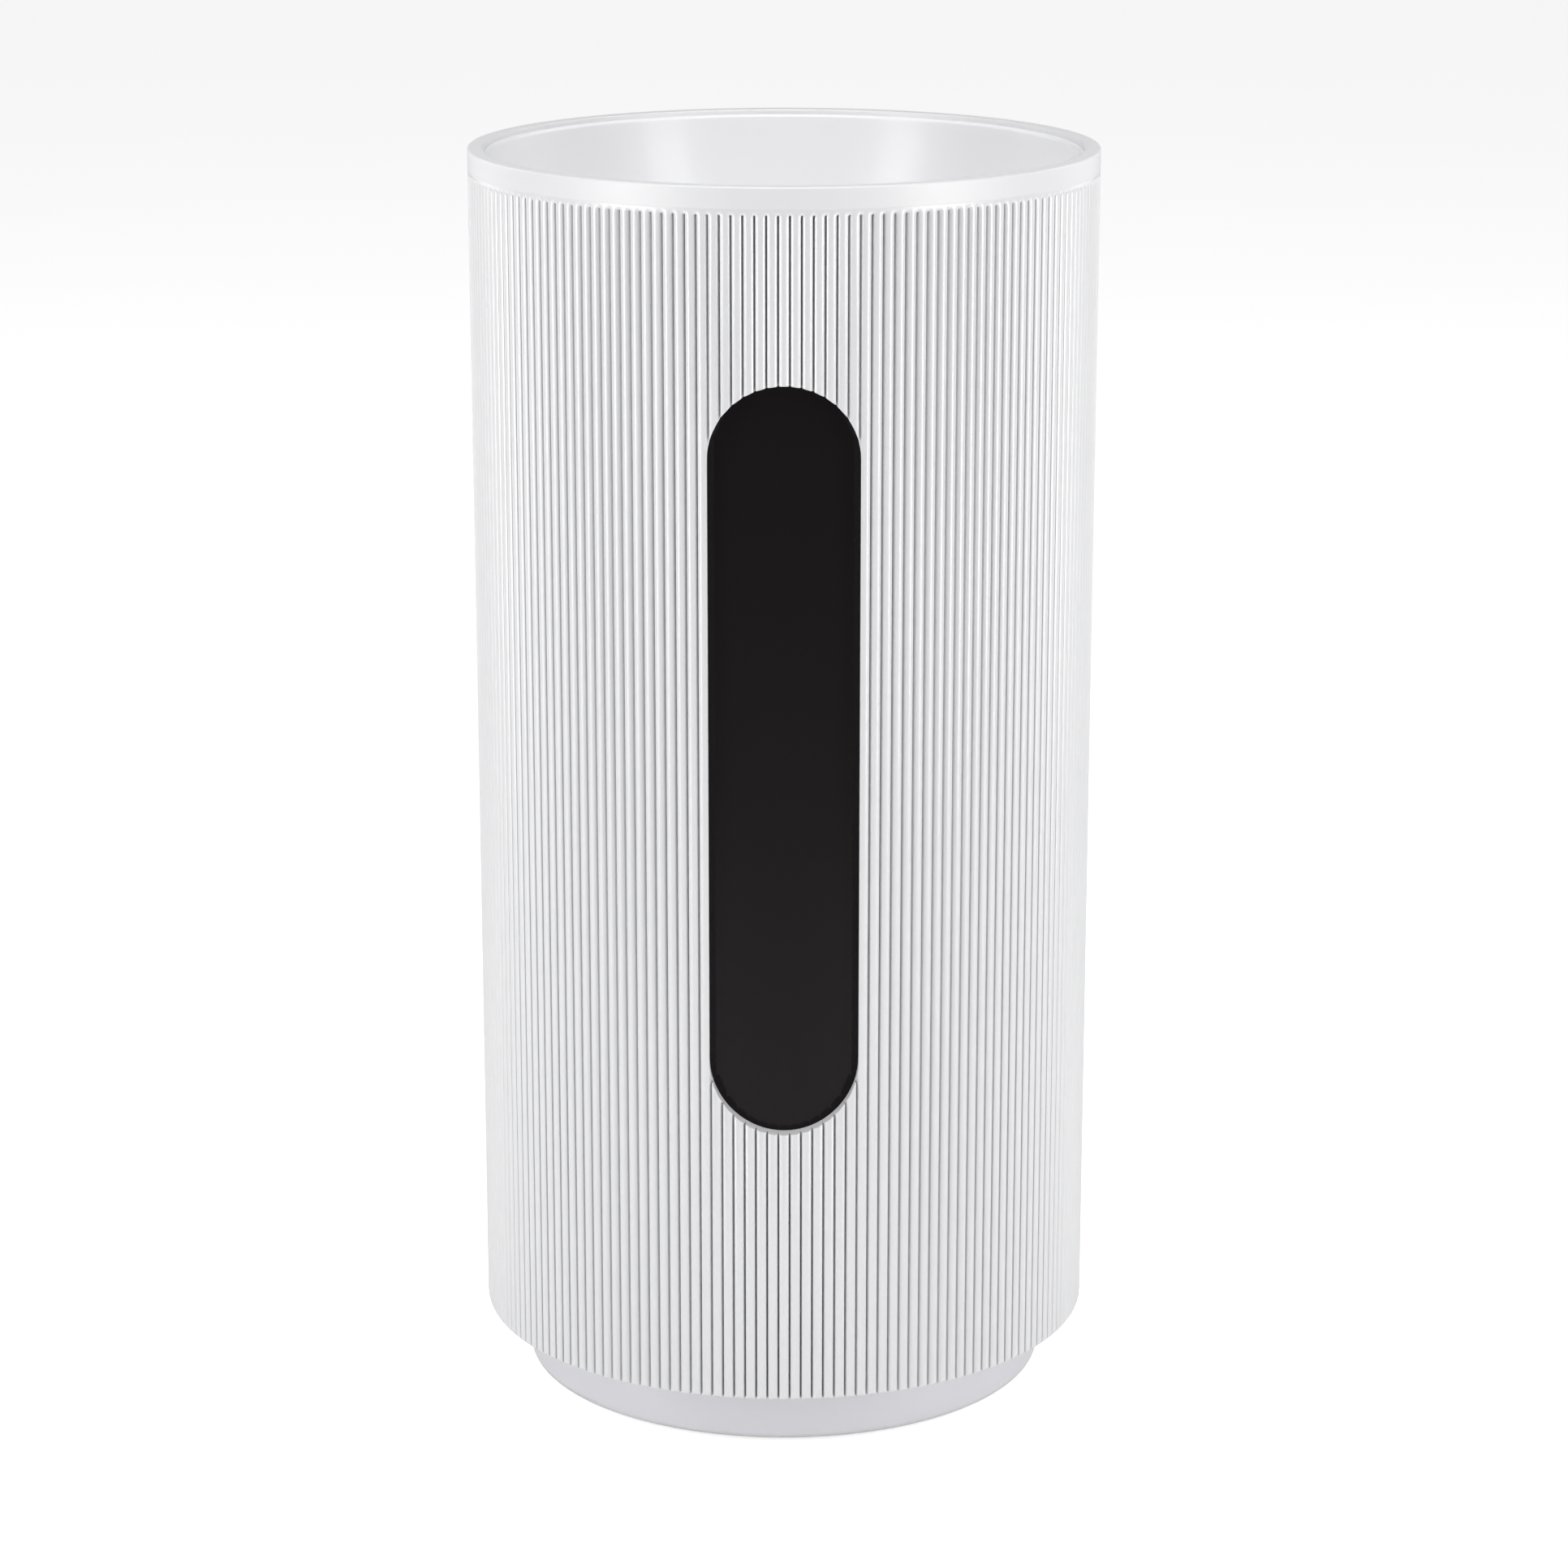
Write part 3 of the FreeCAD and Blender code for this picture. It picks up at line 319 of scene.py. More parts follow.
def foam():
    # open cells, with painted shade darkening the bottom of each
    finish = Finish("foam", Specular_IOR_Level=0.15)
    cells = finish.add("ShaderNodeTexVoronoi", {"feature": "F1"}, {"Vector": finish.place, "Scale": 1400})
    finish.feed(Base_Color=finish.mix(cells, rgb(0.13, 0.13, 0.14), rgb(0.03, 0.03, 0.033)))
    finish.feed(Roughness=0.85 + 0.1 * finish.noise(300))
    finish.feed(Normal=finish.bump(1 - cells, 0.0004))
    return finish.material


def filterPaper():
    # pressed glass-fibre paper: long fibres and a soft felt
    finish = Finish("filter paper", Specular_IOR_Level=0.15)
    fibre = finish.noise(900, 5, 0.7, finish.upright(0.15))
    felt = finish.noise(140, 4)
    finish.feed(Base_Color=finish.mix(felt, rgb(0.78, 0.78, 0.74), rgb(0.88, 0.88, 0.85)))
    finish.feed(Roughness=0.85 + 0.1 * fibre)
    finish.feed(Normal=finish.bump(fibre, 0.00012))
    return finish.material


def filterNet():
    finish = Finish("filter net", Specular_IOR_Level=0.35)
    finish.feed(Base_Color=finish.mix(finish.noise(300, 3), rgb(0.05, 0.055, 0.06), rgb(0.1, 0.105, 0.115)))
    finish.feed(Roughness=0.5 + 0.15 * finish.noise(700, 3))
    finish.feed(Normal=finish.bump(finish.noise(2500, 2, place=finish.upright(0.2)), 0.00003))
    return finish.material


def carbon():
    # packed granules, with painted shade darkening the gaps between them
    finish = Finish("carbon", Specular_IOR_Level=0.3)
    grains = finish.add("ShaderNodeTexVoronoi", {"feature": "F1"}, {"Vector": finish.place, "Scale": 700})
    finish.feed(Base_Color=finish.mix(grains, rgb(0.035, 0.034, 0.033), rgb(0.006, 0.006, 0.006)))
    finish.feed(Roughness=0.6 + 0.25 * finish.noise(900))
    finish.feed(Normal=finish.bump(1 - grains, 0.0005))
    return finish.material


def brushedMetal(name, dark, light, roughness, scratch=0.00002, **steady):
    finish = Finish(name, Metallic=1.0, **steady)
    lines = finish.noise(900, 4, 0.6, finish.upright(0.06))
    finish.feed(Base_Color=finish.mix(finish.noise(70, 4), dark, light))
    finish.feed(Roughness=roughness - 0.06 + 0.12 * lines)
    finish.feed(Normal=finish.bump(lines, scratch))
    return finish.material


def steel():
    return brushedMetal("steel", rgb(0.5, 0.5, 0.51), rgb(0.62, 0.62, 0.63), 0.32)


def brass():
    return brushedMetal("brass", rgb(0.6, 0.43, 0.19), rgb(0.72, 0.54, 0.27), 0.28)


def magnet():
    # nickel plate over sintered powder
    finish = Finish("magnet", Metallic=1.0)
    speck = finish.noise(1100, 4, 0.6)
    finish.feed(Base_Color=finish.mix(speck, rgb(0.42, 0.41, 0.4), rgb(0.56, 0.55, 0.53)))
    finish.feed(Roughness=0.25 + 0.15 * speck)
    finish.feed(Normal=finish.bump(speck, 0.00001))
    return finish.material


def castWeight():
    # sand-cast iron, painted thinly
    finish = Finish("cast weight", Metallic=0.6)
    skin = finish.noise(420, 6, 0.65)
    finish.feed(Base_Color=finish.mix(skin, rgb(0.05, 0.05, 0.052), rgb(0.13, 0.13, 0.135)))
    finish.feed(Roughness=0.55 + 0.25 * skin)
    finish.feed(Normal=finish.bump(skin, 0.0002))
    return finish.material


def copper():
    # enamelled wire: a groove between each turn and the next, with painted shade darkening the copper in it
    finish = Finish("copper", Metallic=0.9, Coat_Weight=0.6, Coat_Roughness=0.1)
    turns = finish.add("ShaderNodeTexWave", {"wave_type": "BANDS", "bands_direction": "Z"},
                       {"Vector": finish.place, "Scale": 330.0, "Distortion": 0.4})
    finish.feed(Base_Color=finish.mix(turns, rgb(0.32, 0.1, 0.04), rgb(0.72, 0.33, 0.15)))
    finish.feed(Roughness=0.3 - 0.08 * turns)
    finish.feed(Normal=finish.bump(turns, 0.0003))
    return finish.material


def board():
    # green mask over glass cloth, with paler tracks
    finish = Finish("board", Specular_IOR_Level=0.6)
    cells = finish.add("ShaderNodeTexVoronoi", {"feature": "DISTANCE_TO_EDGE"},
                       {"Vector": finish.place, "Scale": 210})
    track = finish.add("ShaderNodeMath", {"operation": "LESS_THAN"}, {0: cells, 1: 0.06})
    finish.feed(Base_Color=finish.mix(track, rgb(0.008, 0.09, 0.045), rgb(0.03, 0.2, 0.1)))
    finish.feed(Roughness=0.3 + 0.1 * finish.noise(400))
    finish.feed(Normal=finish.bump(track, 0.00003))
    return finish.material


def electronics():
    return mouldedPlastic("electronics", (0.022, 0.022, 0.024), 0.55, grain=0.00003, grainScale=3000,
                          mottle=0.25)


def light():
    # milky diffuser, off
    finish = Finish("light", Transmission_Weight=0.35, IOR=1.49)
    haze = finish.noise(220, 4)
    finish.feed(Base_Color=finish.mix(haze, rgb(0.78, 0.82, 0.86), rgb(0.88, 0.91, 0.94)))
    finish.feed(Roughness=0.4 + 0.15 * haze)
    return finish.material


def cableBlack():
    finish = Finish("cable black", Specular_IOR_Level=0.45)
    sheen = finish.noise(160, 4)
    finish.feed(Base_Color=finish.mix(sheen, rgb(0.016, 0.016, 0.018), rgb(0.03, 0.03, 0.032)))
    finish.feed(Roughness=0.38 + 0.16 * sheen)
    finish.feed(Normal=finish.bump(finish.noise(1700, 2), 0.00002))
    return finish.material


finishes = {
    "reeded_white": reededWhite(), "liner_white": linerWhite(), "lens_black": lensBlack(),
    "base_grey": baseGrey(), "frame_grey": frameGrey(), "dark_plastic": darkPlastic(), "rubber": rubber(),
    "foam": foam(), "filter_paper": filterPaper(), "filter_net": filterNet(), "carbon": carbon(),
    "filter_cap": filterCap(), "steel": steel(), "cast_weight": castWeight(), "magnet": magnet(),
    "copper": copper(), "board": board(), "electronics": electronics(), "light": light(), "brass": brass(),
    "cable_black": cableBlack(), "chassis_white": chassisWhite(),
}
slotOf = {part["node"]: part["material_slot"] for part in frame["record"]["subparts"]}
for name, piece in nodes.items():
    for place in piece.material_slots:
        place.material = finishes[slotOf[name]]
print("finishes on", len(slotOf), "nodes")


def stand(piece, body, node):
    # the piece takes a node's place, finish and body
    piece.data.materials.append(finishes[slotOf[node]])
    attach(piece, body)
    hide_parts(node)


sleeve = {
    "reeds": 176,
    "reedDepth": 0.0011,
    "crownDrop": 0.0001,          # the reeds' crowns lie this far inside the band
    "partingHalf": 0.00036,       # the V between two reeds: half its width, and its depth
    "partingDepth": 0.0018,
    "reedSteps": 10,              # columns across one reed
    "wall": 0.0052,
    "endRow": 0.0006,             # from a rounded or arched end to the plain row beside it
    "archGap": 0.0005,            # from the top of a groove to the band
    "endRound": 0.0012,           # rounding of the reeds' lower ends
    "rimBevel": 0.0007,
    "edgeRound": 0.0003,          # rounding of the window's and the inlet's edges
    "windowHalfWidth": 0.0232,
    "windowMargins": (0.089, 0.0595),      # from the sleeve's lower edge and from the rim
    "inletHalfWidth": 0.017,
    "inletHalfHeight": 0.009,
    "inletHeight": 0.027,         # above the sleeve's lower edge
    "boreFade": 0.35,             # angle over which the bore's columns return to the face's
    "boreRow": 0.0024,            # height of the bore's lowest row
    "slack": 1e-7,                # angle by which a cut's own end columns count as inside it
    "bandStep": 0.0001,           # from the top of the reeds' face to the band
    "rimRow": 0.0002,             # from a bevel to the row beside it on the rim
}
sleeveBore = sleeveRadius - sleeve["wall"]
reedPitch = 2 * math.pi / sleeve["reeds"]
reedCrown = sleeveRadius - sleeve["crownDrop"]
quarter = np.radians([0, 22.5, 45, 67.5, 90])


def reedCurve():
    # radius of the arc through a crown and the two valleys beside it:
    # (half chord squared + sagitta squared) / (2 sagitta)
    valley = reedCrown - sleeve["reedDepth"]
    halfChord, sagitta = valley * math.sin(reedPitch / 2), reedCrown - valley * math.cos(reedPitch / 2)
    return halfChord, (halfChord ** 2 + sagitta ** 2) / (2 * sagitta)


def reedRadius(angle):
    # distance from the axis of that arc, less a narrow V that parts each reed from the next
    curve = reedCurve()[1]
    offset = (angle + reedPitch / 2) % reedPitch - reedPitch / 2
    centre = reedCrown - curve
    arc = centre * np.cos(offset) + np.sqrt(curve ** 2 - (centre * np.sin(offset)) ** 2)
    fromValley = reedCrown * (reedPitch / 2 - np.abs(offset))
    return arc - sleeve["partingDepth"] * np.clip(1 - fromValley / sleeve["partingHalf"], 0, 1)


def reedAngles():
    # the bottom of each V, then columns at equal turns of the reed's own arc from one V to the next
    halfChord, curve = reedCurve()
    half = math.asin((halfChord - sleeve["partingHalf"]) / curve)
    turn = np.linspace(-half, half, sleeve["reedSteps"])
    within = np.arctan2(curve * np.sin(turn), reedCrown - curve + curve * np.cos(turn))
    within = np.concatenate([[-reedPitch / 2], within])
    return (within[None, :] + np.arange(sleeve["reeds"])[:, None] * reedPitch).ravel()


class Hole:
    # a pill-shaped cut along Y: a core rectangle with a round of some radius all about it
    def __init__(self, coreWidth, coreHeight, radius, z, front):
        self.coreWidth, self.coreHeight, self.radius, self.z = coreWidth, coreHeight, radius, z
        self.middle = 0.0 if front else np.pi
        self.side = 1 if front else -1

    def fromMiddle(self, angle):
        return (angle - self.middle + np.pi) % (2 * np.pi) - np.pi

    def holds(self, angle, reach):
        # whether a column is within the cut's reach on either side of its middle
        return np.abs(self.fromMiddle(angle)) < reach + sleeve["slack"]

    def edgeAngles(self):
        # columns where the cut's ends are steep, found on the reeded face by its own width
        fine = np.linspace(0, 0.5, 20000)
        steep = np.radians(np.arange(50, 91, 5))
        x = self.coreWidth + (self.radius + sleeve["edgeRound"]) * np.sin(steep)
        found = np.interp(x, reedRadius(fine + self.middle) * np.sin(fine), fine)
        return np.concatenate([self.middle - found, self.middle + found]), found[-1]

    def outline(self, x, grown):
        # half-height of the cut where its edge, grown outwards, crosses the columns x of the face
        reach = self.radius + sleeve["edgeRound"]
        sine = np.clip((np.abs(x) - self.coreWidth) / reach, 0, 1)
        xHere = np.sign(x) * (np.minimum(np.abs(x), self.coreWidth) + (self.radius + grown) * sine)
        return xHere, self.coreHeight + (self.radius + grown) * np.sqrt(1 - sine ** 2)


def sleeveShell():
    windowLow = sleeveLow + sleeve["windowMargins"][0]
    windowHigh = sleeveHigh - sleeve["windowMargins"][1]
    half = sleeve["windowHalfWidth"]
    window = Hole(0.0, (windowHigh - windowLow) / 2 - half, half, (windowHigh + windowLow) / 2, True)
    inlet = Hole(sleeve["inletHalfWidth"] - sleeve["inletHalfHeight"], 0.0, sleeve["inletHalfHeight"],
                 sleeveLow + sleeve["inletHeight"], False)
    windowEdges, windowReach = window.edgeAngles()
    inletEdges, inletReach = inlet.edgeAngles()
    angle = np.concatenate([reedAngles(), windowEdges, inletEdges]) % (2 * np.pi)
    angle = np.unique(np.round(angle, 9))
    face = reedRadius(angle)
    x = face * np.sin(angle)

    # heights of the two rows that follow the holes' lower and upper edges
    away = np.abs((angle + np.pi) % (2 * np.pi) - np.pi)
    grown = sleeve["edgeRound"]
    share = np.clip((away - windowReach) / (np.pi - inletReach - windowReach), 0, 1)
    rowA = (window.z - window.coreHeight) * (1 - share) + inlet.z * share
    rowB = (window.z + window.coreHeight) * (1 - share) + inlet.z * share
    inner = angle.copy()
    inRow = [rowA.copy(), rowB.copy()]
    cut = np.zeros(len(angle), bool)
    for hole, reach in ((window, windowReach), (inlet, inletReach)):
        local = hole.fromMiddle(angle)
        inside = hole.holds(angle, reach)
        _, rise = hole.outline(x, grown)
        rowA, rowB = np.where(inside, hole.z - rise, rowA), np.where(inside, hole.z + rise, rowB)
        xInner, riseInner = hole.outline(x, 0.0)
        inRow[0] = np.where(inside, hole.z - riseInner, inRow[0])
        inRow[1] = np.where(inside, hole.z + riseInner, inRow[1])
        shift = np.arcsin(np.clip(xInner / sleeveBore, -1, 1)) * hole.side - local
        edgeShift = np.interp(reach, np.sort(local[inside]), shift[inside][np.argsort(local[inside])])
        fade = np.clip(1 - (np.abs(local) - reach) / sleeve["boreFade"], 0, 1)
        inner = inner + np.where(inside, shift, np.sign(local) * edgeShift * fade)
        cut |= inside

    # rows up the outside: rounded lower ends, plain reeds, groove ends as arches, band and bevels
    ones = np.ones(len(angle))
    rows = []
    rounding = sleeve["endRound"]
    for turn in quarter:
        rows.append((np.minimum(face, reedCrown - rounding * (1 - math.sin(turn))),
                     (sleeveLow + rounding * (1 - math.cos(turn))) * ones))
    rows.append((face, (sleeveLow + rounding + sleeve["endRow"]) * ones))
    firstCut = len(rows)
    rows.append((face, rowA))
    rows.append((face, rowB))
    bandLow = sleeveHigh - bandHeight
    halfReed = reedCrown * reedPitch / 2
    archLow = bandLow - sleeve["archGap"] - halfReed
    rows.append((face, (archLow - sleeve["endRow"]) * ones))
    fromValley = reedCrown * (np.abs((angle + reedPitch / 2) % reedPitch - reedPitch / 2) - reedPitch / 2)
    for rise in halfReed * np.sin(np.radians([0, 15, 30, 45, 60, 75, 90])):
        reach = np.minimum(np.hypot(fromValley, rise), halfReed)
        rows.append((reedRadius(reedPitch / 2 - reach / reedCrown), (archLow + rise) * ones))
    rows.append((reedCrown * ones, (bandLow - sleeve["bandStep"]) * ones))
    rows.append((sleeveRadius * ones, bandLow * ones))
    bevel = sleeve["rimBevel"]
    for turn in quarter:
        rows.append(((sleeveRadius - bevel * (1 - math.cos(turn))) * ones,
                     (sleeveHigh - bevel * (1 - math.sin(turn))) * ones))
    for inset in (sleeveRadius - bevel - sleeve["rimRow"], sleeveBore + bevel + sleeve["rimRow"]):
        rows.append((inset * ones, sleeveHigh * ones))
    for turn in quarter[::-1]:
        rows.append(((sleeveBore + bevel * (1 - math.cos(turn))) * ones,
                     (sleeveHigh - bevel * (1 - math.sin(turn))) * ones))
    outerRows = len(rows)
    boreLow = (sleeveLow + sleeve["boreRow"]) * ones
    for z in (archLow * ones, inRow[1], inRow[0], boreLow, sleeveLow * ones):
        rows.append((sleeveBore * ones, z))
    innerCut = outerRows + 1

    radius = np.array([row[0] for row in rows])
    height = np.array([row[1] for row in rows])
    turnOf = np.where(np.arange(len(rows))[:, None] < outerRows, angle[None, :], inner[None, :])
    points = np.stack([radius * np.sin(turnOf), -radius * np.cos(turnOf), height], -1)
    columns = len(angle)
    quads = gridQuads(len(rows), columns, closedRows=True, closedColumns=True)
    quads = quads.reshape(len(rows), columns, 4)
    keep = np.ones((len(rows), columns), bool)
    through = cut & np.roll(cut, -1)
    keep[firstCut, through] = False
    keep[innerCut, through] = False
    allPoints = [points.reshape(-1, 3)]
    allQuads = [quads[keep]]
    total = len(rows) * columns

    # the walls of the two holes: a rounded outer edge, then straight in to the bore
    for hole, reach in ((window, windowReach), (inlet, inletReach)):
        local = hole.fromMiddle(angle)
        inside = np.flatnonzero(hole.holds(angle, reach))
        inside = inside[np.argsort(local[inside])]
        loop = np.concatenate([inside, inside[::-1]])
        upper = np.concatenate([-np.ones(len(inside)), np.ones(len(inside))])
        surface = np.where(upper < 0, firstCut, firstCut + 1) * columns + loop
        bore = np.where(upper < 0, innerCut + 1, innerCut) * columns + loop
        rings = [surface]
        for turn in quarter[1:]:
            xHere, rise = hole.outline(x[loop], grown * (1 - math.sin(turn)))
            y = -face[loop] * np.cos(angle[loop]) + hole.side * grown * (1 - math.cos(turn))
            ring = np.stack([xHere, y, hole.z + upper * rise], -1)
            allPoints.append(ring)
            rings.append(total + np.arange(len(loop)))
            total += len(loop)
        rings.append(bore)
        rings = np.array(rings)
        cells = gridQuads(len(rings), len(loop), closedColumns=True)
        allQuads.append(rings.reshape(-1)[cells])
    return meshFrom("sleeve_reeded", np.concatenate(allPoints), np.concatenate(allQuads))


stand(sleeveShell(), "housing", "sleeve")
print("sleeve")

bowl = {
    "lipDrop": 0.0015,
    "lipWidth": 0.0026,
    "wall": 0.0024,
    "lipRounds": (0.0006, 0.0011),    # outer and inner edge of the lip
    "belly": 0.0022,              # how far the wall bulges from a straight cone
    "steps": 40,
    "flangeGap": 0.0008,          # between the seat's flange and the sleeve's bore
    "seatGap": 0.0002,            # round the grille
    "ledge": 0.004,               # how far the seat reaches in under the grille
    "seatWidth": 0.0032,
    "lipInside": 0.005,           # heights of the lip's inner and outer faces
    "lipOutside": 0.009,
}


def bowlShell():
    lipTop = sleeveHigh - bowl["lipDrop"]
    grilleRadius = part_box("outlet_grille")[1][0]
    grilleLow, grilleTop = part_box("outlet_grille")[0][2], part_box("outlet_grille")[1][2]
    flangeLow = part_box("outlet_bowl")[0][2]
    flangeRadius = sleeveBore - bowl["flangeGap"]
    outer, inner, seat = sleeveBore, sleeveBore - bowl["lipWidth"], grilleRadius + bowl["seatGap"]
    ledge = seat - bowl["ledge"]
    top = np.array([inner, lipTop - bowl["lipRounds"][1]])
    foot = np.array([seat, grilleTop])
    t = np.linspace(0, 1, bowl["steps"])[:, None]
    # the wall: a straight cone from lip to seat plus a parabola that is widest half way
    wall = top * (1 - t) + foot * t + np.array([bowl["belly"], 0]) * 4 * t * (1 - t)
    back = wall[::-1] + np.array([bowl["wall"], 0])
    lip = filleted([(inner, lipTop - bowl["lipInside"], 0), (inner, lipTop, bowl["lipRounds"][1]),
                    (outer, lipTop, bowl["lipRounds"][0]), (outer, lipTop - bowl["lipOutside"], 0)])[1:]
    seatRing = np.array([(seat, grilleLow), (ledge, grilleLow), (ledge, flangeLow),
                         (flangeRadius, flangeLow), (flangeRadius, grilleLow),
                         (seat + bowl["seatWidth"], grilleLow)])
    outline = np.concatenate([wall, seatRing, back[:-6], lip[::-1]])
    return lathe("bowl_liner", outline, 256, creaseAngle=40)


stand(bowlShell(), "housing", "outlet_bowl")
print("bowl")

grille = {
    "rimWidth": 0.0026,
    "hubRadius": 0.027,
    "hubWidth": 0.003,
    "rings": 3,
    "ringWidth": 0.0014,
    "vanes": 36,
    "vaneThickness": 0.0014,
    "tilt": 30.0,
    "sweep": 14.0,                # degrees that a vane turns on its way out
    "round": 0.0006,
    "ringDrop": 0.001,            # how far the hub and the rings stand inside the rim's two faces
    "hubDrop": 0.0006,
    "plateDrop": 0.0019,
    "plateInset": 0.002,
    "vaneRise": 0.0012,           # how much lower the vanes are than the rim
    "vaneEnd": 0.0008,
    "vaneRoot": 0.0012,           # how far a vane starts inside the hub, and ends inside the rim
    "vaneTip": 0.0014,
}


def bladeAcross(length, thickness, steps=5):
    # outline of a flat bar with half-round ends: width x along it, y across it
    turn = np.linspace(-np.pi / 2, np.pi / 2, steps)
    half = thickness / 2
    end = np.stack([(length - thickness) / 2 + half * np.cos(turn), half * np.sin(turn)], -1)
    return np.concatenate([end, -end])


def swirlGrille():
    # rings are lathed; a vane is a tilted bar with round edges, carried outwards along an arc of a spiral
    low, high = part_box("outlet_grille")[0][2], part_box("outlet_grille")[1][2]
    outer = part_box("outlet_grille")[1][0]
    hub, edge = grille["hubRadius"], grille["round"]
    work = []
    step = (outer - hub) / (grille["rings"] + 1)
    inset = grille["ringWidth"] / 2
    bottomIn, topIn = low + grille["ringDrop"], high - grille["ringDrop"]
    rings = [(outer, outer - grille["rimWidth"], low, high),
             (hub, hub - grille["hubWidth"], bottomIn, high - grille["hubDrop"])]
    rings += [(hub + n * step + inset, hub + n * step - inset, bottomIn, topIn)
              for n in range(1, grille["rings"] + 1)]
    for far, near, bottom, top in rings:
        corners = [(near, bottom), (far, bottom), (far, top), (near, top)]
        work.append(latheGrid(filleted([(*corner, edge) for corner in corners], 4), 160))
    plateRadius, plateTop = hub - grille["plateInset"], high - grille["plateDrop"]
    plate = np.array([(0, bottomIn), (plateRadius, bottomIn), (plateRadius, plateTop), (0, plateTop)])
    work.append(latheGrid(plate, 96))
    lean = math.radians(grille["tilt"])
    length = (high - low - grille["vaneRise"]) / math.cos(lean) - grille["vaneEnd"]
    across = bladeAcross(length, grille["vaneThickness"])
    side = across[:, 0] * math.sin(lean) + across[:, 1] * math.cos(lean)
    up = across[:, 0] * math.cos(lean) - across[:, 1] * math.sin(lean)
    along = np.linspace(0, 1, 14)[:, None]
    radius = hub - grille["vaneRoot"] + (outer - hub + grille["vaneRoot"] - grille["vaneTip"]) * along
    for n in range(grille["vanes"]):
        turn = 2 * math.pi * n / grille["vanes"] + math.radians(grille["sweep"]) * along ** 1.5
        x = radius * np.sin(turn) + side * np.cos(turn)
        y = -radius * np.cos(turn) + side * np.sin(turn)
        points = np.stack([x, y, (low + high) / 2 + up + 0 * x], -1)
        work.append((points.reshape(-1, 3), *bladeFaces(len(along), len(across))))
    return shellsMesh("swirl_grille", work)


stand(swirlGrille(), "grille", "outlet_grille")
print("grille")

spring = {
    "turns": 7,
    "wire": 0.0006,
    "closedShare": 0.12,          # of the turns at each end that lie flat
    "travel": 0.005,
}


def latchSpring():
    # a round wire carried along a helix about Y, whose pitch eases to nothing at both ends
    low, high = np.array(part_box("latch_spring")[0]), np.array(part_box("latch_spring")[1])
    half = spring["wire"] / 2
    centre, radius = (low + high) / 2, (high[0] - low[0]) / 2 - half
    t = np.linspace(0, 1, 40 * spring["turns"])[:, None]
    turn = 2 * np.pi * spring["turns"] * t
    rise = np.clip((t - spring["closedShare"] / 2) / (1 - spring["closedShare"]), 0, 1)
    across = np.linspace(0, 2 * np.pi, 10, endpoint=False)
    reach = radius + half * np.cos(across)
    x, z = centre[0] + reach * np.cos(turn), centre[2] + reach * np.sin(turn)
    y = low[1] + half + (high[1] - low[1] - 2 * half) * rise + half * np.sin(across)
    points = np.stack([x, y, z], -1)
    return shellsMesh("latch_coil", [(points.reshape(-1, 3), *bladeFaces(len(t), len(across)))])


coil = latchSpring()
stand(coil, "base", "latch_spring")
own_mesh(coil)
print("spring")


filterWork = {
    "pleats": 96,
    "pleatSteps": 10,
    "paper": 0.0011,
    "sharpness": 0.965,           # 1 would fold the pleats to a knife edge
    "uprights": 108,
    "hoops": 46,
    "wire": 0.00026,              # half the thickness of the net's strands
    "weave": 0.00016,             # half of a strand's swing
    "netGap": 0.0011,             # from the folds to the net's outside
    "coreGap": 0.0001,            # from the folds to the carbon
    "foldCrease": 75,
}


def pleatedMedia():
    # a tube of folded paper: its radius swings between the net and the carbon as a rounded zigzag
    low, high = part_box("filter_media")[0][2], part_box("filter_media")[1][2]
    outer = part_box("prefilter_net")[1][0] - filterWork["netGap"]
    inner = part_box("carbon_core")[1][0] + filterWork["coreGap"]
    count = filterWork["pleats"] * filterWork["pleatSteps"]
    angle = np.linspace(0, 2 * np.pi, count, endpoint=False)
    sharp = filterWork["sharpness"]
    wave = np.arcsin(sharp * np.cos(angle * filterWork["pleats"])) / math.asin(sharp)
    paper = filterWork["paper"]
    middle, swing = (outer + inner) / 2, (outer - inner - paper) / 2
    radius = np.stack([middle + swing * wave + paper / 2] * 2 + [middle + swing * wave - paper / 2] * 2, 1)
    z = np.array([low, high, high, low])[None, :] + 0 * radius
    points = np.stack([radius * np.sin(angle)[:, None], -radius * np.cos(angle)[:, None], z], -1)
    quads = gridQuads(count, 4, closedRows=True, closedColumns=True)
    return meshFrom("pleated_paper", points, quads, filterWork["foldCrease"])


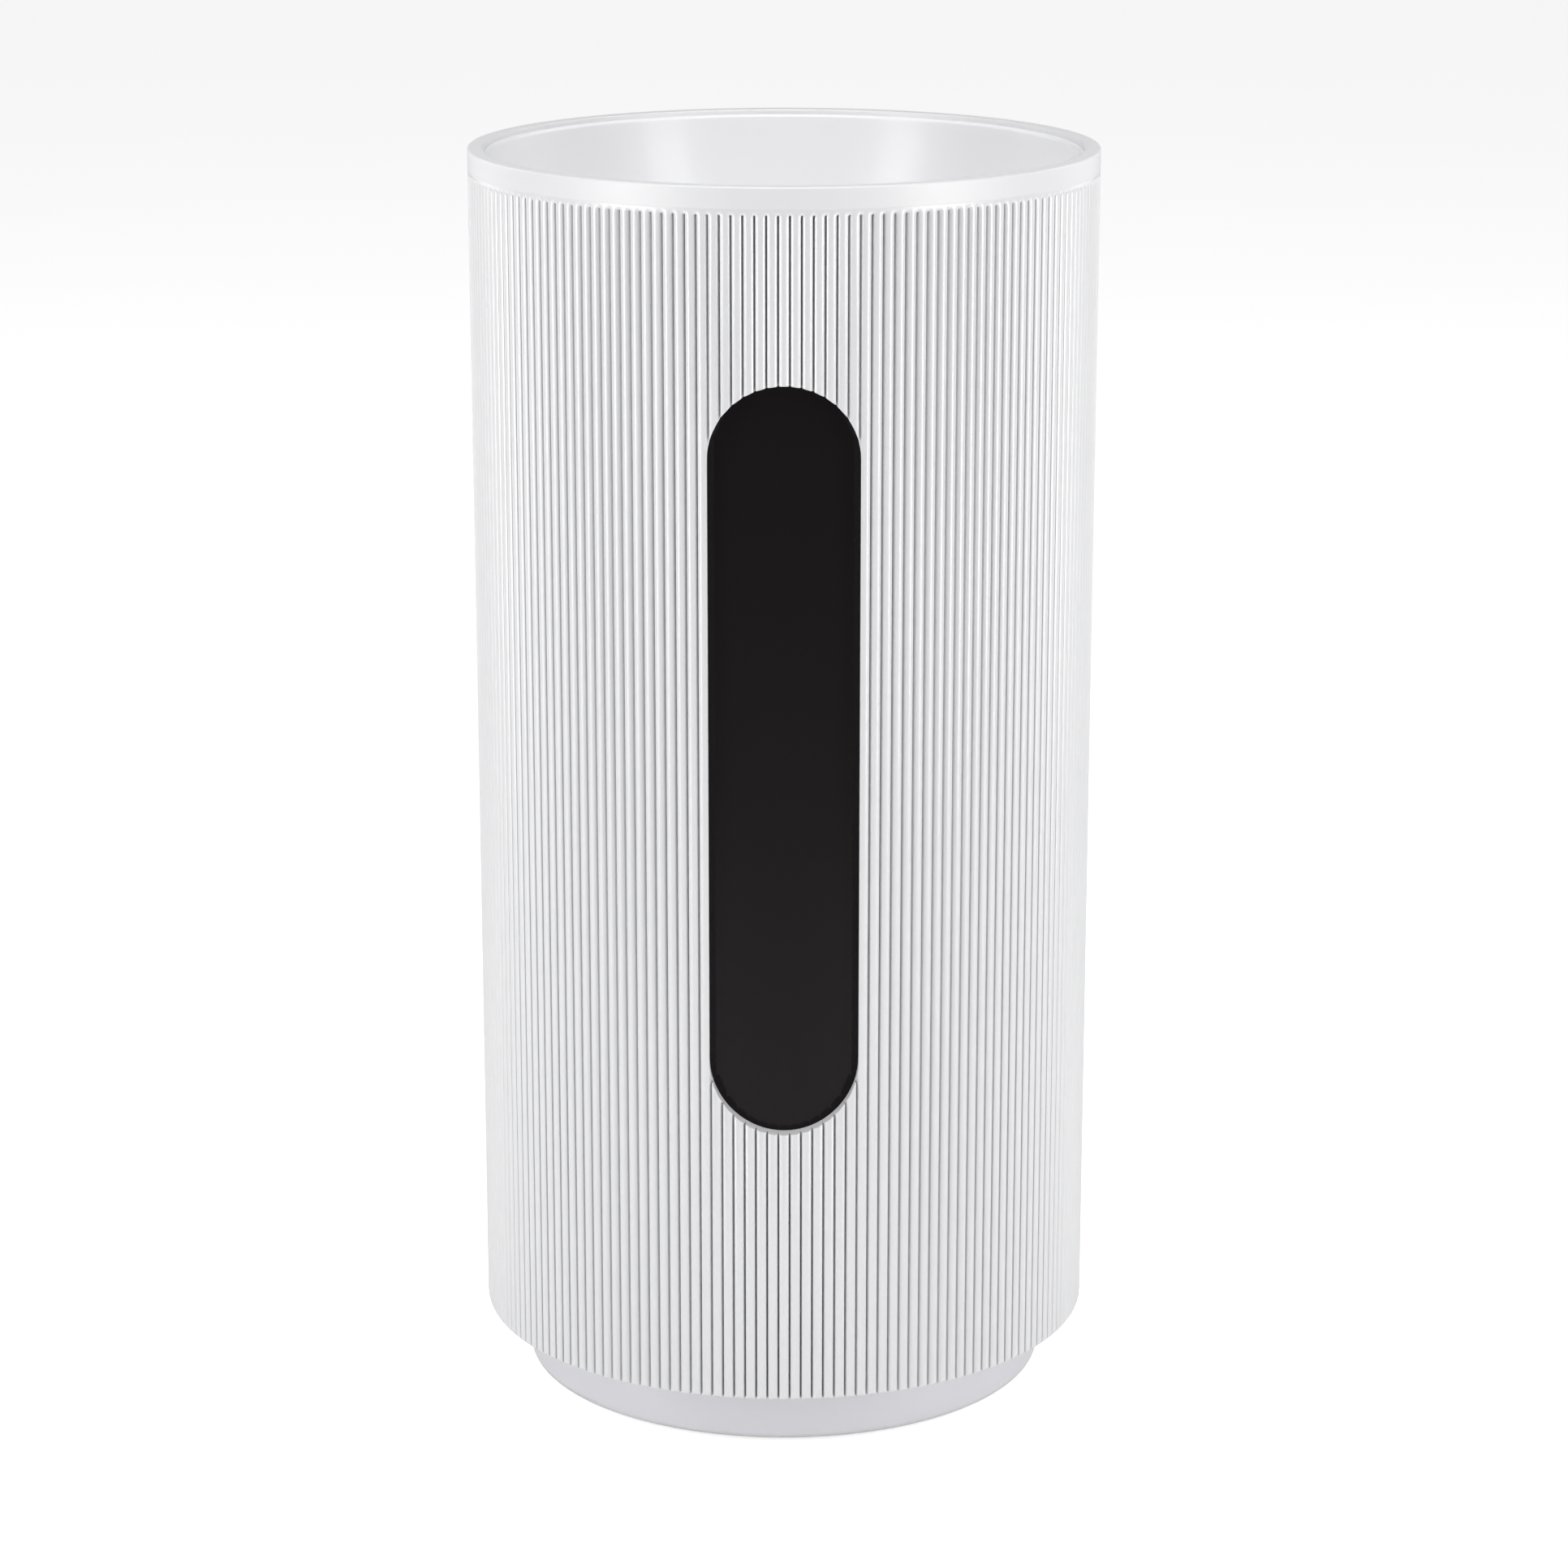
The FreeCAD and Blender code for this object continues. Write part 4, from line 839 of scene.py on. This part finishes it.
def wovenNet():
    # uprights and hoops that pass over and under each other: a strand's radius swings half a wave
    # from one crossing to the next
    (_, _, low), (outer, _, high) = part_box("prefilter_net")
    wire, weave = filterWork["wire"], filterWork["weave"]
    middle = outer - wire - weave
    corner = np.radians([45, 135, 225, 315])
    work = []
    rows = 2 * filterWork["hoops"] + 1
    spacing = (high - low - 2 * wire) / filterWork["hoops"]
    z = np.linspace(low, high, rows)[:, None]
    for n in range(filterWork["uprights"]):
        turn = 2 * math.pi * n / filterWork["uprights"]
        swing = weave * (-1) ** n * np.cos(np.pi * (z - low - wire - spacing / 2) / spacing)
        radius = middle + swing + wire * np.cos(corner)
        sideways = wire * np.sin(corner) + 0 * radius
        x = radius * math.sin(turn) + sideways * math.cos(turn)
        y = -radius * math.cos(turn) + sideways * math.sin(turn)
        points = np.stack([x, y, z + 0 * x], -1)
        work.append((points.reshape(-1, 3), *bladeFaces(rows, 4)))
    angle = np.linspace(0, 2 * np.pi, 2 * filterWork["uprights"], endpoint=False)[:, None]
    for n in range(filterWork["hoops"]):
        swing = -weave * (-1) ** n * np.cos(angle * filterWork["uprights"] / 2)
        radius = middle + swing + wire * np.cos(corner)
        height = low + wire + spacing * (n + 0.5) + wire * np.sin(corner)
        points = np.stack([radius * np.sin(angle), -radius * np.cos(angle), height + 0 * radius], -1)
        quads = gridQuads(len(angle), 4, closedRows=True, closedColumns=True)
        work.append((points.reshape(-1, 3), quads, []))
    return shellsMesh("woven_net", work)


stand(pleatedMedia(), "base", "filter_media")
stand(wovenNet(), "base", "prefilter_net")
print("filter")

room = {
    "floorSize": 60.0,
    "floorColour": rgb(0.93, 0.93, 0.93),
    "sweep": 0.7,                # how much the floor is lifted towards white where it is seen
    "ambient": 0.22,
    "backdrop": 0.92,            # how bright the walls look
    # name: place, size, power; each looks at the middle of the object
    "boxes": {
        "left box": ((-0.51, -0.38, 0.45), (0.2, 0.9), 2.6),
        "right box": ((0.51, -0.38, 0.45), (0.2, 0.9), 2.6),
        "left rear box": ((-0.77, 0.64, 0.5), (0.4, 1.1), 2.0),
        "right rear box": ((0.77, 0.64, 0.5), (0.4, 1.1), 2.0),
        "front box": ((0.0, -1.1, 1.7), (1.2, 0.8), 3.8),
        "top box": ((0.0, 0.15, 2.0), (1.2, 1.2), 12.5),
    },
    "camera": (0.0, -1.4165, 0.584),
    "tilt": 15.3,                 # degrees below level
    "lens": 102.65,
}


def floorFinish():
    # a pale matt floor, lifted like a lit sweep for the eye only, so that it throws no light of its own
    finish = Finish("floor", Specular_IOR_Level=0.1, Emission_Color=rgb(1, 1, 1))
    finish.feed(Base_Color=finish.mix(finish.noise(6, 3), room["floorColour"], rgb(0.95, 0.95, 0.95)))
    finish.feed(Roughness=0.8 + 0.1 * finish.noise(30))
    finish.feed(Emission_Strength=finish.add("ShaderNodeLightPath") * room["sweep"])
    return finish.material


def pointAt(thing, target):
    # turn a light or the camera so that its -Z looks at the target
    thing.rotation_euler = (Vector(target) - thing.location).to_track_quat("-Z", "Y").to_euler()


def softbox(name, place, size, power):
    data = bpy.data.lights.new(name, "AREA")
    data.shape = "RECTANGLE"
    data.size, data.size_y, data.energy = *size, power
    lamp = bpy.data.objects.new(name, data)
    lamp.location = place
    pointAt(lamp, (Vector(cadBox[0]) + Vector(cadBox[1])) / 2)
    lamp.visible_camera = False
    bpy.context.scene.collection.objects.link(lamp)


def studioWorld():
    # white to look at, and dimmer as a light, so that the boxes shape the object
    world = bpy.data.worlds.new("studio")
    world.use_nodes = True
    tree = world.node_tree
    background = tree.nodes["Background"]
    background.inputs["Color"].default_value = rgb(1, 1, 1)
    seen = tree.nodes.new("ShaderNodeLightPath")
    strength = tree.nodes.new("ShaderNodeMapRange")
    strength.inputs["To Min"].default_value = room["ambient"]
    strength.inputs["To Max"].default_value = room["backdrop"]
    tree.links.new(seen.outputs["Is Camera Ray"], strength.inputs["Value"])
    tree.links.new(strength.outputs["Result"], background.inputs["Strength"])
    bpy.context.scene.world = world


def surroundings():
    half = room["floorSize"] / 2
    span = np.linspace(-half, half, 2)
    x, y = np.meshgrid(span, span)
    floor = meshFrom("floor", np.stack([x, y, 0 * x], -1), gridQuads(2, 2))
    floor.data.materials.append(floorFinish())
    studioWorld()
    for name, (place, size, power) in room["boxes"].items():
        softbox(name, place, size, power)
    bpy.context.scene.view_settings.view_transform = "Standard"


def placeCamera():
    data = bpy.data.cameras.new("camera")
    data.lens, data.sensor_width = room["lens"], 36.0
    camera = bpy.data.objects.new("camera", data)
    camera.location = room["camera"]
    camera.rotation_euler = (math.radians(90 - room["tilt"]), 0, 0)
    bpy.context.scene.collection.objects.link(camera)
    bpy.context.scene.camera = camera


surroundings()
placeCamera()
print("lights and camera")
